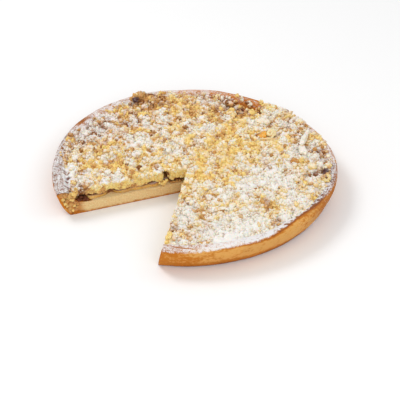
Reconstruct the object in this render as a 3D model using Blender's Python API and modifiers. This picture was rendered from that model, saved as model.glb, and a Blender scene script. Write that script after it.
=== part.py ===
"""Apple crumble pie with one wedge taken out, in metres, +Z up.

A thick pale base and a slanted golden rim make one pastry case. It holds a layer of apple filling, and a
crumble topping lies over the filling, up to the rim and in one place over it. The wedge opening runs down
to the bottom, so all three layers show on its two cut faces. The front of the pie faces -Y.
"""

import math
import random

import bmesh
import bpy
from mathutils import Euler, Matrix, Vector, noise

# Driving dimensions of the pastry case
RIM_RADIUS = 0.140
FOOT_RADIUS = 0.128
RIM_HEIGHT = 0.0279
RIM_WIDTH = 0.0125
BASE_THICKNESS = 0.0120
CASE_SEGMENTS = 72

# Driving dimensions of the layers
LAYER_GAP = 0.0003
FILLING_TOP = 0.0165
CRUMBLE_TOP = 0.0278
CRUMBLE_CROWN = 0.0014
CRUMBLE_RADIUS = 0.1275
CRUMBLE_SHOULDER = 0.0065
SHOULDER_DROP = 0.0032
SPILL_RADIUS = 0.1375

# The wedge opening: its point, and the directions of its two cut faces
CUT_POINT = Vector((-0.0050, -0.0084, 0.0))
CUT_FAR_ANGLE = math.radians(199.6)
CUT_NEAR_ANGLE = math.radians(260.2)
CUT_REACH = 0.200
CUTTER_PITCH = 0.0072

# The knife leant over on the near side, so the foot of that face stands out by this share of its distance
NEAR_FACE_FLARE = 0.050

# How far each layer stands back from the knife. A hollow has a distance along the face, a spread and a depth
FILLING_SETBACK = 0.0012
FILLING_ROUGHNESS = 0.0010
FILLING_HOLLOWS = [(0.012, 0.013, 0.0055), (0.077, 0.006, 0.0045), (0.106, 0.008, 0.0045)]
CRUMBLE_SETBACK = 0.0018
CRUMBLE_ROUGHNESS = 0.0018

# Chunks of apple at the cut faces
CHUNK_DISTANCES = (0.034, 0.047, 0.060, 0.089)
CHUNK_WIDTH = (0.0090, 0.0130)
CHUNK_DEPTH = 0.0080
CHUNK_HEIGHT = (0.0024, 0.0030)
CHUNK_BEVEL = 0.0006
CHUNK_TILT = 0.08

# The crumble: relief of its core, and the lumps that stand out of it
CORE_CELL = 0.0064
CORE_JITTER = 0.0018
BUMP_SPACING = 0.0100
BUMP_HEIGHT = 0.0032
LUMPS = 30
LUMP_RADIUS = (0.0042, 0.0066)
CRUMBS_PER_LUMP = 2
GOLDEN_ANGLE = math.radians(137.508)

# The stretch at the back where the crumble has shrunk from the rim, and the stretch where it spills over it
HOLLOW_ANGLE = math.radians(64.0)
HOLLOW_SPREAD = math.radians(15.0)
HOLLOW_DEPTH = 0.0056
SPILL_ANGLES = [math.radians(angle) for angle in (27, 32, 36, 39, 44, 48, 50)]

# The high clump on the back rim, and pieces pressed into the crumble: name, place, size, turn in degrees
CLUMP_PLACES = [
    (-0.0560, 0.1180, 0.0312, 0.0068),
    (-0.0480, 0.1140, 0.0295, 0.0056),
    (-0.0655, 0.1100, 0.0288, 0.0050),
    (0.1262, -0.0245, 0.0285, 0.0046),
    (0.1268, -0.0060, 0.0285, 0.0050),
]
RAISINS = [
    ("raisin_back", (-0.0600, 0.1098, 0.0305), (0.0088, 0.0062, 0.0052), (20, -15, 30)),
    ("raisin_right", (0.1275, -0.0157, 0.0294), (0.0092, 0.0066, 0.0052), (-10, 12, 75)),
]
APPLE_PIECES = [
    ("apple_piece_middle", (0.0695, 0.0470, 0.0285), (0.0120, 0.0080, 0.0070), (14, 8, 28)),
    ("apple_piece_right", (0.1010, 0.0010, 0.0290), (0.0078, 0.0064, 0.0056), (-12, 16, -20)),
]
POCKET_GAP = 0.0004
POCKET_CLEARANCE = 0.0045


def clear_scene():
    for obj in list(bpy.data.objects):
        bpy.data.objects.remove(obj, do_unlink=True)


def make_collection(name, hidden=False):
    collection = bpy.data.collections.new(name)
    bpy.context.scene.collection.children.link(collection)
    collection.hide_render = hidden
    return collection


def make_material(name, colour, roughness):
    material = bpy.data.materials.new(name)
    material.use_nodes = True
    shader = material.node_tree.nodes["Principled BSDF"]
    shader.inputs["Base Color"].default_value = (*colour, 1.0)
    shader.inputs["Roughness"].default_value = roughness
    shader.inputs["Metallic"].default_value = 0.0
    return material


def add_object(name, mesh, collection, material=None):
    obj = bpy.data.objects.new(name, mesh)
    collection.objects.link(obj)
    if material:
        mesh.materials.clear()
        mesh.materials.append(material)
    return obj


def mark_as_helper(obj):
    obj.hide_render = True
    obj.display_type = "WIRE"


def apply_modifiers(obj):
    """Swaps the object's mesh for what its modifiers make of it."""
    bpy.context.view_layer.update()
    graph = bpy.context.evaluated_depsgraph_get()
    made = bpy.data.meshes.new_from_object(obj.evaluated_get(graph))
    obj.modifiers.clear()
    old, obj.data = obj.data, made
    bpy.data.meshes.remove(old)


def apply_boolean(obj, operation, other=None, collection=None, solver="EXACT"):
    """Cuts, trims or joins with one object or a whole collection, and applies the result."""
    modifier = obj.modifiers.new(operation.lower(), "BOOLEAN")
    modifier.operation = operation
    modifier.solver = solver
    if collection:
        modifier.operand_type = "COLLECTION"
        modifier.collection = collection
    else:
        modifier.object = other
    apply_modifiers(obj)


def keep_largest_body(obj):
    """Drops the scraps that a cut has left loose."""
    bm = bmesh.new()
    bm.from_mesh(obj.data)
    unseen = set(bm.verts)
    bodies = []
    while unseen:
        front = [unseen.pop()]
        body = list(front)
        while front:
            vert = front.pop()
            for edge in vert.link_edges:
                other = edge.other_vert(vert)
                if other in unseen:
                    unseen.remove(other)
                    front.append(other)
                    body.append(other)
        bodies.append(body)
    bodies.sort(key=len)
    for scrap in bodies[:-1]:
        bmesh.ops.delete(bm, geom=scrap, context="VERTS")
    bm.to_mesh(obj.data)
    bm.free()


def shade(obj):
    obj.data.shade_smooth()
    obj.data.set_sharp_from_angle(angle=math.radians(40))


def outline_factor(angle):
    """How far the pie's outline strays from a circle: pressed by hand, it is a little three-cornered."""
    return 1 - 0.0058 * math.sin(2 * angle) + 0.0156 * math.cos(3 * angle) - 0.0046 * math.sin(3 * angle)


def rim_wave(angle):
    """The rise and fall of the rim's top along its length."""
    slow = 0.00045 * math.sin(5 * angle + 1.0)
    quick = 0.00035 * math.sin(9 * angle + 2.3) + 0.00025 * math.sin(14 * angle)
    return slow + quick


def follow_outline(mesh):
    """Bends a turned mesh to the pie's real outline and lets its rim rise and fall. The floor stays flat."""
    for vert in mesh.vertices:
        angle = math.atan2(vert.co.y, vert.co.x)
        factor = outline_factor(angle)
        share = min(1.0, max(0.0, (vert.co.z - FILLING_TOP) / (RIM_HEIGHT - FILLING_TOP)))
        vert.co.x *= factor
        vert.co.y *= factor
        vert.co.z += share * rim_wave(angle)


def turned(name, profile, collection):
    """A closed solid turned round the Z axis from a profile that runs down its outer side."""
    mesh = bpy.data.meshes.new(name)
    edges = [(i, i + 1) for i in range(len(profile) - 1)]
    mesh.from_pydata([(radius, 0.0, height) for radius, height in profile], edges, [])
    obj = add_object(name, mesh, collection)
    screw = obj.modifiers.new("turn", "SCREW")
    screw.axis = "Z"
    screw.angle = 2 * math.pi
    screw.steps = screw.render_steps = CASE_SEGMENTS
    screw.use_merge_vertices = True
    screw.merge_threshold = 0.00005
    apply_modifiers(obj)
    follow_outline(obj.data)
    return obj


def inner_slope():
    """The case's inner side, from the crest of the rim down to the middle of its floor: (radius, height)."""
    crest = RIM_RADIUS - RIM_WIDTH
    return [
        (crest + 0.0040, RIM_HEIGHT),
        (crest + 0.0014, RIM_HEIGHT - 0.0009),
        (crest - 0.0003, RIM_HEIGHT - 0.0030),
        (crest - 0.0026, RIM_HEIGHT - 0.0078),
        (crest - 0.0058, BASE_THICKNESS + 0.0034),
        (crest - 0.0096, BASE_THICKNESS + 0.0011),
        (crest - 0.0160, BASE_THICKNESS + 0.0002),
        (0.0, BASE_THICKNESS),
    ]


def outer_side():
    """The case's outer side, from the crest of the rim down to the middle of its underside."""
    lean = RIM_RADIUS - FOOT_RADIUS
    return [
        (RIM_RADIUS - 0.0032, RIM_HEIGHT - 0.0001),
        (RIM_RADIUS - 0.0009, RIM_HEIGHT - 0.0009),
        (RIM_RADIUS, RIM_HEIGHT - 0.0028),
        (RIM_RADIUS - 0.10 * lean, RIM_HEIGHT - 0.0060),
        (RIM_RADIUS - 0.34 * lean, 0.0130),
        (RIM_RADIUS - 0.66 * lean, 0.0060),
        (FOOT_RADIUS + 0.0009, 0.0012),
        (FOOT_RADIUS - 0.0004, 0.0),
        (0.0, 0.0),
    ]


def clear_slope():
    """The inner side moved off the case by the gap, square to its own run. Its last point is on the axis."""
    slope = inner_slope()
    moved = []
    for i, (radius, height) in enumerate(slope[:-1]):
        before = slope[max(i - 1, 0)]
        after = slope[i + 1]
        run = math.hypot(after[0] - before[0], after[1] - before[1])
        out = LAYER_GAP * (after[1] - before[1]) / run
        up = LAYER_GAP * (before[0] - after[0]) / run
        moved.append((radius + out, height + up))
    return moved + [(0.0, BASE_THICKNESS + LAYER_GAP)]


def slope_split(height):
    """The cleared slope above a height, the point where the slope crosses it, and the slope below it."""
    slope = clear_slope()
    above = [point for point in slope if point[1] > height]
    below = [point for point in slope if point[1] <= height]
    high, low = above[-1], below[0]
    share = (height - low[1]) / (high[1] - low[1])
    return above, (low[0] + share * (high[0] - low[0]), height), below


def cut_lines():
    """The two cut faces seen from above, as (direction out along the face, direction into the pie)."""
    far = Vector((math.cos(CUT_FAR_ANGLE), math.sin(CUT_FAR_ANGLE), 0))
    near = Vector((math.cos(CUT_NEAR_ANGLE), math.sin(CUT_NEAR_ANGLE), 0))
    return (far, Vector((far.y, -far.x, 0))), (near, Vector((-near.y, near.x, 0)))


def in_wedge(point, margin):
    """True if the point is in the wedge opening or within the margin of one of its faces."""
    offset = Vector((point[0], point[1], 0)) - CUT_POINT
    return all(offset.dot(inward) < margin for _, inward in cut_lines())


def wedge_cutter(name, setback, collection, low, high, pitch):
    """The body of the wedge that is taken out. setback(distance, height, is_far) widens it into the pie."""
    (far, far_in), (near, near_in) = cut_lines()
    steps = round(CUT_REACH / pitch)
    distances = [CUT_REACH * i / steps for i in range(steps, 0, -1)]
    outline = [(CUT_POINT + far * d, far_in, d, True) for d in distances]
    outline += [(CUT_POINT, (far_in + near_in) / 2, 0.0, True)]
    outline += [(CUT_POINT + near * d, near_in, d, False) for d in reversed(distances)]
    levels = round((high - low) / pitch)
    bm = bmesh.new()
    face = bm.faces.new([bm.verts.new(point) for point, _, _, _ in outline])
    rings = [list(face.verts)]
    for _ in range(levels):
        made = bmesh.ops.extrude_face_region(bm, geom=[face, *face.edges])["geom"]
        face = next(item for item in made if isinstance(item, bmesh.types.BMFace))
        rings.append(list(face.verts))
    for level, ring in enumerate(rings):
        height = low + (high - low) * level / levels
        for vert in ring:
            nearest = min(outline, key=lambda item: (item[0] - vert.co).length)
            _, inward, distance, is_far = nearest
            vert.co += inward * setback(distance, height, is_far)
            vert.co.z = height
    bmesh.ops.recalc_face_normals(bm, faces=bm.faces)
    mesh = bpy.data.meshes.new(name)
    bm.to_mesh(mesh)
    bm.free()
    return add_object(name, mesh, collection)


def crust_cut(distance, height, is_far):
    """A knife's flat face through the pastry, upright on the far side and leaning on the near side."""
    if is_far:
        return 0.0
    return -NEAR_FACE_FLARE * distance * (RIM_HEIGHT - height) / RIM_HEIGHT


def filling_cut(distance, height, is_far):
    """The filling stands back from the knife: deep near the pie's middle and by the rim, and in one hole."""
    back = FILLING_SETBACK
    for middle, spread, depth in FILLING_HOLLOWS:
        back += depth * math.exp(-(((distance - middle) / spread) ** 2)) * (1.0 if is_far else 0.5)
    rough = noise.noise(Vector((distance * 130, height * 130, 3.0 if is_far else 7.0)))
    return back + FILLING_ROUGHNESS * rough


def crumble_cut(distance, height, is_far):
    """The crumble breaks along the knife, so its face is ragged."""
    rough = noise.noise(Vector((distance * 110, height * 160, 11.0 if is_far else 17.0)))
    return CRUMBLE_SETBACK + CRUMBLE_ROUGHNESS * rough


def crumble_height(x, y):
    """The height of the crumble's core over a point, with its slow swells and the bumps of its lumps."""
    angle = math.atan2(y, x)
    radius = math.hypot(x, y) / outline_factor(angle)
    share = radius / CRUMBLE_RADIUS
    edge = min(1.4, max(0.0, (radius - CRUMBLE_RADIUS + CRUMBLE_SHOULDER) / CRUMBLE_SHOULDER))
    crown = CRUMBLE_CROWN * math.sin(math.pi * min(1.0, share) ** 1.6)
    swell = 0.0011 * noise.noise(Vector((x * 28, y * 28, 2.0)))
    turn = (angle - HOLLOW_ANGLE) / HOLLOW_SPREAD
    hollow = HOLLOW_DEPTH * math.exp(-turn * turn) * min(1.0, max(0.0, (share - 0.72) / 0.18))
    distances, _ = noise.voronoi(Vector((x / BUMP_SPACING, y / BUMP_SPACING, 5.0)))
    bump = BUMP_HEIGHT * (1 - min(1.0, distances[0] * 1.5) ** 2)
    return CRUMBLE_TOP + crown + swell + bump - 0.5 * BUMP_HEIGHT - hollow - SHOULDER_DROP * edge * edge


def crumble_core(collection):
    """A slab over the whole pie whose top has the crumble's relief. It is trimmed to the case afterwards."""
    side = 2 * SPILL_RADIUS
    cells = round(side / CORE_CELL)
    bm = bmesh.new()
    bmesh.ops.create_grid(bm, x_segments=cells, y_segments=cells, size=side / 2)
    top = list(bm.faces)
    made = bmesh.ops.extrude_face_region(bm, geom=top)["geom"]
    top_verts = {item for item in made if isinstance(item, bmesh.types.BMVert)}
    for vert in top_verts:
        vert.co.x += CORE_JITTER * 2 * noise.noise(vert.co * 310)
        vert.co.y += CORE_JITTER * 2 * noise.noise(vert.co * 290 + Vector((9, 4, 0)))
        vert.co.z = crumble_height(vert.co.x, vert.co.y)
    for vert in set(bm.verts) - top_verts:
        vert.co.z = FILLING_TOP - 0.004
    floor = [face for face in bm.faces if all(vert not in top_verts for vert in face.verts)]
    bmesh.ops.dissolve_faces(bm, faces=floor)
    bmesh.ops.recalc_face_normals(bm, faces=bm.faces)
    mesh = bpy.data.meshes.new("crumble")
    bm.to_mesh(mesh)
    bm.free()
    return add_object("crumble", mesh, collection, make_material("crumble_topping", (0.80, 0.60, 0.30), 0.85))


def lump(name, place, radius, detail, draw, collection):
    """One lump of crumble: a ball pulled out of shape, flatter than it is wide."""
    bm = bmesh.new()
    bmesh.ops.create_icosphere(bm, subdivisions=detail, radius=radius)
    stretch = Vector((draw.uniform(0.85, 1.2), draw.uniform(0.85, 1.2), draw.uniform(0.70, 0.95)))
    offset = Vector((draw.uniform(-50, 50), draw.uniform(-50, 50), draw.uniform(-50, 50)))
    for vert in bm.verts:
        swelling = 1 + 0.55 * noise.noise(vert.co / radius * 1.3 + offset)
        vert.co = Vector((vert.co.x * stretch.x, vert.co.y * stretch.y, vert.co.z * stretch.z)) * swelling
    turn = Euler([draw.uniform(-0.5, 0.5), draw.uniform(-0.5, 0.5), draw.uniform(0, 2 * math.pi)])
    bm.transform(Matrix.Translation(place) @ turn.to_matrix().to_4x4())
    mesh = bpy.data.meshes.new(name)
    bm.to_mesh(mesh)
    bm.free()
    return add_object(name, mesh, collection)


def clear_of_pieces(x, y, radius):
    """True if a lump there leaves the raisins and apple pieces to be seen."""
    places = [place for _, place, _, _ in RAISINS + APPLE_PIECES]
    clearance = radius + POCKET_CLEARANCE
    return all(math.hypot(x - place[0], y - place[1]) > clearance for place in places)


def scatter_lumps(draw, collection):
    """Spreads lumps evenly over the crumble by the golden angle, each a little off its place."""
    reach = CRUMBLE_RADIUS - 0.005
    for i in range(LUMPS):
        distance = reach * math.sqrt((i + 0.5) / LUMPS) + draw.uniform(-0.005, 0.002)
        angle = i * GOLDEN_ANGLE + draw.uniform(-0.06, 0.06)
        radius = draw.uniform(*LUMP_RADIUS)
        x = distance * math.cos(angle) * outline_factor(angle)
        y = distance * math.sin(angle) * outline_factor(angle)
        in_hollow = abs(angle % (2 * math.pi) - HOLLOW_ANGLE) < HOLLOW_SPREAD and distance > 0.104
        if in_wedge((x, y), radius * 0.6) or in_hollow or not clear_of_pieces(x, y, radius):
            continue
        lump(f"lump_{i:02d}", (x, y, crumble_height(x, y)), radius, 2, draw, collection)
        start = draw.uniform(0, 2 * math.pi)
        for k in range(CRUMBS_PER_LUMP):
            turn = start + 2.2 * k
            side_x = x + radius * 1.05 * math.cos(turn)
            side_y = y + radius * 1.05 * math.sin(turn)
            size = radius * draw.uniform(0.55, 0.75)
            if clear_of_pieces(side_x, side_y, size):
                place = (side_x, side_y, crumble_height(side_x, side_y))
                lump(f"crumb_{i:02d}_{k}", place, size, 1, draw, collection)


def rim_lumps(draw, collection):
    """The crumble that spills over the rim at the back right, and the clumps on the rim by the raisins."""
    for i, angle in enumerate(SPILL_ANGLES):
        radius = draw.uniform(0.0040, 0.0064)
        distance = (CRUMBLE_RADIUS + draw.uniform(-0.0025, 0.0035)) * outline_factor(angle)
        place = (distance * math.cos(angle), distance * math.sin(angle), RIM_HEIGHT - 0.0006)
        lump(f"spill_{i}", place, radius, 2, draw, collection)
    for i, (x, y, height, radius) in enumerate(CLUMP_PLACES):
        lump(f"clump_{i}", (x, y, height), radius, 2, draw, collection)


def topping_space(collection):
    """The room that the crumble may fill: over the filling, inside the case and above its rim."""
    floor = FILLING_TOP + LAYER_GAP
    above, corner, _ = slope_split(floor)
    crest = RIM_HEIGHT + LAYER_GAP
    lid = 2 * RIM_HEIGHT
    profile = [(0.0, lid), (SPILL_RADIUS, lid), (SPILL_RADIUS, crest), *above, corner, (0.0, floor)]
    return turned("topping_space", profile, collection)


def make_crumble(collection, helpers):
    """The crumble topping: a core with its lumps fused on, trimmed to the case and cut at the wedge."""
    draw = random.Random(7)
    core = crumble_core(collection)
    lumps = make_collection("crumble_lumps", hidden=True)
    scatter_lumps(draw, lumps)
    rim_lumps(draw, lumps)
    apply_boolean(core, "UNION", collection=lumps, solver="MANIFOLD")
    for obj in list(lumps.objects):
        bpy.data.objects.remove(obj, do_unlink=True)
    bpy.data.collections.remove(lumps)
    apply_boolean(core, "INTERSECT", other=topping_space(helpers), solver="MANIFOLD")
    cutter = wedge_cutter("crumble_wedge", crumble_cut, helpers, 0.014, 0.044, CUTTER_PITCH)
    apply_boolean(core, "DIFFERENCE", other=cutter, solver="MANIFOLD")
    return core


def apple_mesh(name, size, bevel, segments):
    """A diced piece of apple with rounded edges, about its own middle."""
    bm = bmesh.new()
    bmesh.ops.create_cube(bm, size=1.0)
    bmesh.ops.scale(bm, vec=size, verts=bm.verts)
    edges = list(bm.edges)
    bmesh.ops.bevel(bm, geom=edges, offset=bevel, segments=segments, profile=0.5, affect="EDGES", material=-1)
    mesh = bpy.data.meshes.new(name)
    bm.to_mesh(mesh)
    bm.free()
    return mesh


def apple_chunks(collection):
    """Chunks of apple that stand a little out of the filling on both cut faces."""
    draw = random.Random(21)
    for face, (along, inward) in enumerate(cut_lines()):
        for i, distance in enumerate(CHUNK_DISTANCES):
            size = (draw.uniform(*CHUNK_WIDTH), CHUNK_DEPTH, draw.uniform(*CHUNK_HEIGHT))
            chunk = add_object(f"chunk_{face}_{i}", apple_mesh("chunk", size, CHUNK_BEVEL, 1), collection)
            chunk.location = CUT_POINT + along * distance + inward * (CHUNK_DEPTH / 2 + FILLING_SETBACK)
            chunk.location.z = (BASE_THICKNESS + FILLING_TOP) / 2
            heading = math.atan2(along.y, along.x) + draw.uniform(-0.2, 0.2)
            chunk.rotation_euler = (draw.uniform(-CHUNK_TILT, CHUNK_TILT), 0, heading)


def make_filling(collection, helpers):
    """The apple layer, from the case's floor up to the crumble, with its chunks fused on."""
    _, corner, below = slope_split(FILLING_TOP)
    filling = turned("apple_filling", [(0.0, FILLING_TOP), corner, *below], collection)
    filling.data.materials.append(make_material("apple_filling", (0.72, 0.50, 0.14), 0.35))
    cutter = wedge_cutter("filling_wedge", filling_cut, helpers, 0.008, 0.024, CUTTER_PITCH)
    apply_boolean(filling, "DIFFERENCE", other=cutter)
    chunks = make_collection("apple_chunks", hidden=True)
    apple_chunks(chunks)
    apply_boolean(filling, "UNION", collection=chunks)
    for obj in list(chunks.objects):
        bpy.data.objects.remove(obj, do_unlink=True)
    bpy.data.collections.remove(chunks)
    return filling


def make_crust(collection, helpers):
    """The pastry case: base and rim in one piece, with the wedge cut out by a knife."""
    crust = turned("crust", [*inner_slope()[::-1], *outer_side()], collection)
    crust.data.materials.append(make_material("pastry_crust", (0.72, 0.42, 0.16), 0.70))
    cutter = wedge_cutter("crust_wedge", crust_cut, helpers, -0.004, 0.036, 0.040)
    apply_boolean(crust, "DIFFERENCE", other=cutter)
    return crust


def raisin_mesh(name, size):
    """A wrinkled raisin about its own middle."""
    bm = bmesh.new()
    bmesh.ops.create_icosphere(bm, subdivisions=2, radius=0.5)
    for vert in bm.verts:
        wrinkle = 1 + 0.16 * noise.noise(vert.co * 5.0 + Vector((len(name), 0, 0)))
        vert.co = Vector((vert.co.x * size[0], vert.co.y * size[1], vert.co.z * size[2])) * wrinkle
    mesh = bpy.data.meshes.new(name)
    bm.to_mesh(mesh)
    bm.free()
    return mesh


def apple_piece_mesh(name, size):
    """A small piece of apple, softened all round, about its own middle."""
    return apple_mesh(name, size, min(size) * 0.22, 2)


def press_in(topping, specs, make_mesh, material, collection, helpers):
    """Sets each piece in a pocket of the crumble that is larger than it all round."""
    for name, place, size, turn in specs:
        rotation = Euler([math.radians(angle) for angle in turn])
        piece = add_object(name, make_mesh(name, size), collection, material)
        grown = [side + 2 * POCKET_GAP for side in size]
        pocket = add_object(name + "_pocket", make_mesh(name, grown), helpers)
        for obj in (piece, pocket):
            obj.location = place
            obj.rotation_euler = rotation
        apply_boolean(topping, "DIFFERENCE", other=pocket, solver="MANIFOLD")
        shade(piece)


def centre_on_origin(objects):
    """Parents the pieces to an empty, placed so that the pastry case's box is centred on the origin."""
    crust = objects["crust"]
    xs = [vert.co.x for vert in crust.data.vertices]
    ys = [vert.co.y for vert in crust.data.vertices]
    pie = bpy.data.objects.new("pie", None)
    bpy.context.scene.collection.objects.link(pie)
    pie.location = (-(min(xs) + max(xs)) / 2, -(min(ys) + max(ys)) / 2, 0.0)
    for obj in objects:
        obj.parent = pie


def main():
    clear_scene()
    pie = make_collection("apple_crumble_pie")
    helpers = make_collection("helpers", hidden=True)
    crust = make_crust(pie, helpers)
    filling = make_filling(pie, helpers)
    crumble = make_crumble(pie, helpers)
    raisin = make_material("raisin", (0.05, 0.02, 0.015), 0.45)
    apple = make_material("baked_apple", (0.78, 0.38, 0.06), 0.30)
    press_in(crumble, RAISINS, raisin_mesh, raisin, pie, helpers)
    press_in(crumble, APPLE_PIECES, apple_piece_mesh, apple, pie, helpers)
    for obj in (crust, filling, crumble):
        keep_largest_body(obj)
        shade(obj)
    for helper in helpers.objects:
        mark_as_helper(helper)
    centre_on_origin(pie.objects)


main()
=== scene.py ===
"""Dresses the apple crumble pie: pastry case, apple filling, crumble of real crumbs, and icing sugar."""

import math

import bmesh
import bpy
import numpy as np
from bpy.props import FloatProperty, FloatVectorProperty, IntProperty, PointerProperty
from mathutils import Euler, Matrix, Vector, noise


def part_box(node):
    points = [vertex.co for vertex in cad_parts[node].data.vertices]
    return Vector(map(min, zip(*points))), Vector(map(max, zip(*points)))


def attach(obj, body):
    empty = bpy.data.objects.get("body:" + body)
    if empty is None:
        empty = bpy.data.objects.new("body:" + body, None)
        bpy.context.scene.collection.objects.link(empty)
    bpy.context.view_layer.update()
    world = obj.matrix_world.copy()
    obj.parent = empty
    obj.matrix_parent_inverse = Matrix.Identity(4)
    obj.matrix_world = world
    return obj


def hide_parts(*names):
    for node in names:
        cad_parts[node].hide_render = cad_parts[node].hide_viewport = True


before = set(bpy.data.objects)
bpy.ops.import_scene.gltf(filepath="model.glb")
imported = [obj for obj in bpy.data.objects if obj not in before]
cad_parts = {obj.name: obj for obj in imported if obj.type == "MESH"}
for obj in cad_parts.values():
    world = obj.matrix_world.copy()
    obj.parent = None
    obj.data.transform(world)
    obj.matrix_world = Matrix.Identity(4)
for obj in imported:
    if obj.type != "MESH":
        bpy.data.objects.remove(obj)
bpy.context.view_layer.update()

bl_info = {
    "name": "Apple Crumble Pie",
    "version": (1, 0, 0),
    "blender": (4, 5, 0),
    "location": "View3D > Sidebar > Pie",
    "description": "Bakes an apple crumble pie with a wedge taken out around its plain solids",
    "category": "Object",
}

BODY = "root"


def metres(rows, lengths=5):
    """A table's rows with their first few numbers, the lengths, turned from millimetres to metres."""
    return [(*(number / 1000 for number in row[:lengths]), *row[lengths:]) for row in rows]


# The pie's outline: its rim radius, and the wedge opening's point and the directions of its two faces
RIM_RADIUS = 0.140
CUT_POINT = (-0.0050, -0.0084)
FAR_ANGLE = math.radians(199.6)
NEAR_ANGLE = math.radians(260.2)
SWEEP = 2 * math.pi - NEAR_ANGLE + FAR_ANGLE
# The knife leant over on the near side, so the foot of that face stands out by this share of its distance
NEAR_FACE_FLARE = 0.050
FLARE_DEPTH = 0.014
GOLDEN_ANGLE = math.radians(137.508)

# The case's section, as radius and height from the floor's edge over the rim and down to the underside
INNER_SIDE = metres([
    (106, 12), (111.5, 12.2), (117.9, 13.1), (121.7, 15.4), (124.9, 20.1), (127.2, 24.9), (128.9, 27),
    (131.5, 27.9), (134.5, 27.9), (136.8, 27.8), (139.1, 26.8),
])
OUTER_SIDE = metres([
    (139.1, 26.8), (139.9, 25), (138.8, 21.9), (135.9, 13), (132.1, 6), (128.9, 1.2), (127.4, 0),
    (120, 0), (106, 0),
])
SECTION_STEPS = 46
CASE_FLOOR_CELLS = 150
WAVE_FOOT = 0.0165
RIM_HEIGHT = 0.0279
INNER_CREST = 0.1285
NO_SUGAR = -0.8
MERGE_DISTANCE = 0.00003
# How close the baked rings lie, per metre across the section and per radian round the pie
RINGS_ACROSS = 900
RINGS_AROUND = 12

# The layers over the floor
FILLING_LOW = 0.0123
FILLING_TOP = 0.0164
FILLING_EDGE = 0.1205
FILLING_FLOOR_CELLS = 190
FILLING_STEPS = 160
FILLING_ROWS = 10
CRUMBLE_LOW = 0.0169
CRUMBLE_TOP = 0.0278
CRUMBLE_CROWN = 0.0014
CRUMBLE_RADIUS = 0.1275
BED_RADIUS = 0.1305
BED_LEVELS = 14
BED_FITTED_FROM = 0.110
BUMP_SPACING = 0.0100
BUMP_HEIGHT = 0.0038
HOLLOW_ANGLE = math.radians(64.0)
HOLLOW_SPREAD = math.radians(15.0)
HOLLOW_DEPTH = 0.0056
HOLLOW_RADIUS = 0.1245

# How deep into the pie the layers' ragged faces reach, how far out the crumbs and the piles lie, how many
# crumbs are tried at each cut face, and the most triangles in one piece of crumbs
CUT_DEPTH = 0.012
CRUMB_REACH = 0.1370
PILE_REACH = 0.1365
CUT_CRUMBS = 760
MOST_TRIANGLES = 190000
TOP_SEED = 11
CUT_SEED = 23

# Where the camera stands from the outline's centre, and how many degrees it looks down
CAMERA_PLACE = (0.0073, -1.0402, 0.7446)
CAMERA_DIP = 36.223

# How each raisin lies in its place: shift, half sizes and heading
RAISINS = {
    "raisin_back": ((-0.0004, 0.0016, 0.0006), (0.0028, 0.0024, 0.0022), 0.5),
    "raisin_right": ((0.0017, -0.0021, 0.0004), (0.0035, 0.0022, 0.0022), 1.3),
}

# The tables from here on hold millimetres and degrees

# Hollows in the filling's cut faces: distance from the cut point, spread, depth
FILLING_HOLLOWS = metres([(10, 10, 5.5), (77, 5, 4.5), (106, 7, 5)])

# How far out the crumbs lie, by the angle round the pie
CRUMB_EDGE = [
    (0, 134.5), (20, 135.5), (35, 137), (48, 136), (53, 130), (58, 126.5), (66, 127.5), (72, 131),
    (84, 132), (95, 132.5), (108, 133), (115, 136), (122, 132), (135, 132), (148, 130), (155, 133),
    (161, 137), (167, 136.6), (175, 133.5), (179, 130), (183.5, 124), (188, 120), (194.5, 120.5),
    (199, 126.5), (202, 127.5), (258, 127.5), (264, 129), (271, 130), (277, 130), (281, 124),
    (284, 121.5), (287, 122.5), (290, 127), (294, 130), (300, 131.5), (305, 130.5), (313, 128),
    (320, 127.8), (330, 128.5), (335, 129.5), (341, 131.5), (350, 133.5), (360, 134.5),
]

# How thick the icing sugar lies on the rim, by the angle round the pie
RIM_SUGAR = [
    (0, 0.56), (20, 0.55), (40, 0.5), (50, 0.4), (60, 0.38), (70, 0.42), (80, 0.5), (98, 0.58),
    (115, 0.6), (130, 0.6), (152, 0.58), (165, 0.56), (180, 0.54), (199, 0.56), (260, 0.52), (270, 0.57),
    (280, 0.76), (290, 0.88), (305, 0.88), (316, 0.84), (330, 0.76), (345, 0.6), (360, 0.56),
]

# Where that sugar ends, as a radius on the flat of the rim and counted on down the outer side
SUGAR_BORDER = [
    (0, 137.5), (30, 138.5), (45, 136), (60, 135), (75, 136.5), (95, 139), (130, 139.5), (170, 140.5),
    (255, 140.2), (271, 140.2), (282, 138.5), (301, 138), (310, 134.7), (320, 130.6), (330, 132),
    (339, 133.4), (345, 134.8), (351, 136.2), (360, 137.5),
]

# How much lighter the upper part of the outer side is, by the angle round the pie: partly a lighter bake,
# partly painted light where the side faces the light and painted shade where it turns away at the right
WALL_BAKE_AND_LIGHT = [
    (0, 0.5), (40, 0.2), (250, 0), (266, 0.1), (276, 0.6), (286, 0.95), (320, 0.95), (330, 0.6),
    (338, 0.3), (347, 0.2), (360, 0.5),
]

# The lower line of the crumble along the far cut face, as distance from the cut point and height
CRUMBLE_FOOT = metres([
    (0, 16.5), (6, 17.2), (12, 18.5), (16, 16.8), (18.5, 17.5), (20.5, 24.5), (23, 24), (25, 15),
    (28, 15.2), (31, 17.2), (35, 18.4), (39, 18), (44, 16.8), (63, 16.5), (70, 16.7), (74, 18.5),
    (80, 18.8), (84, 16.8), (89, 16.8), (96, 19), (102, 19.3), (110, 18.5), (113, 17.2), (125, 17),
])

# Deep gaps in the crumble's far cut face: distance, height, half width, half height, depth
FACE_GAPS = metres([
    (20.5, 22.5, 2.4, 5, 8.5), (23.5, 26.2, 2.2, 2.2, 5), (36, 17.8, 3.2, 1.8, 4),
    (77, 17.8, 3.2, 2.2, 4.5), (105, 17.5, 7, 2.8, 5), (117, 25.5, 2, 1.8, 4.5), (48, 23.8, 1.8, 1.2, 2),
])

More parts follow.
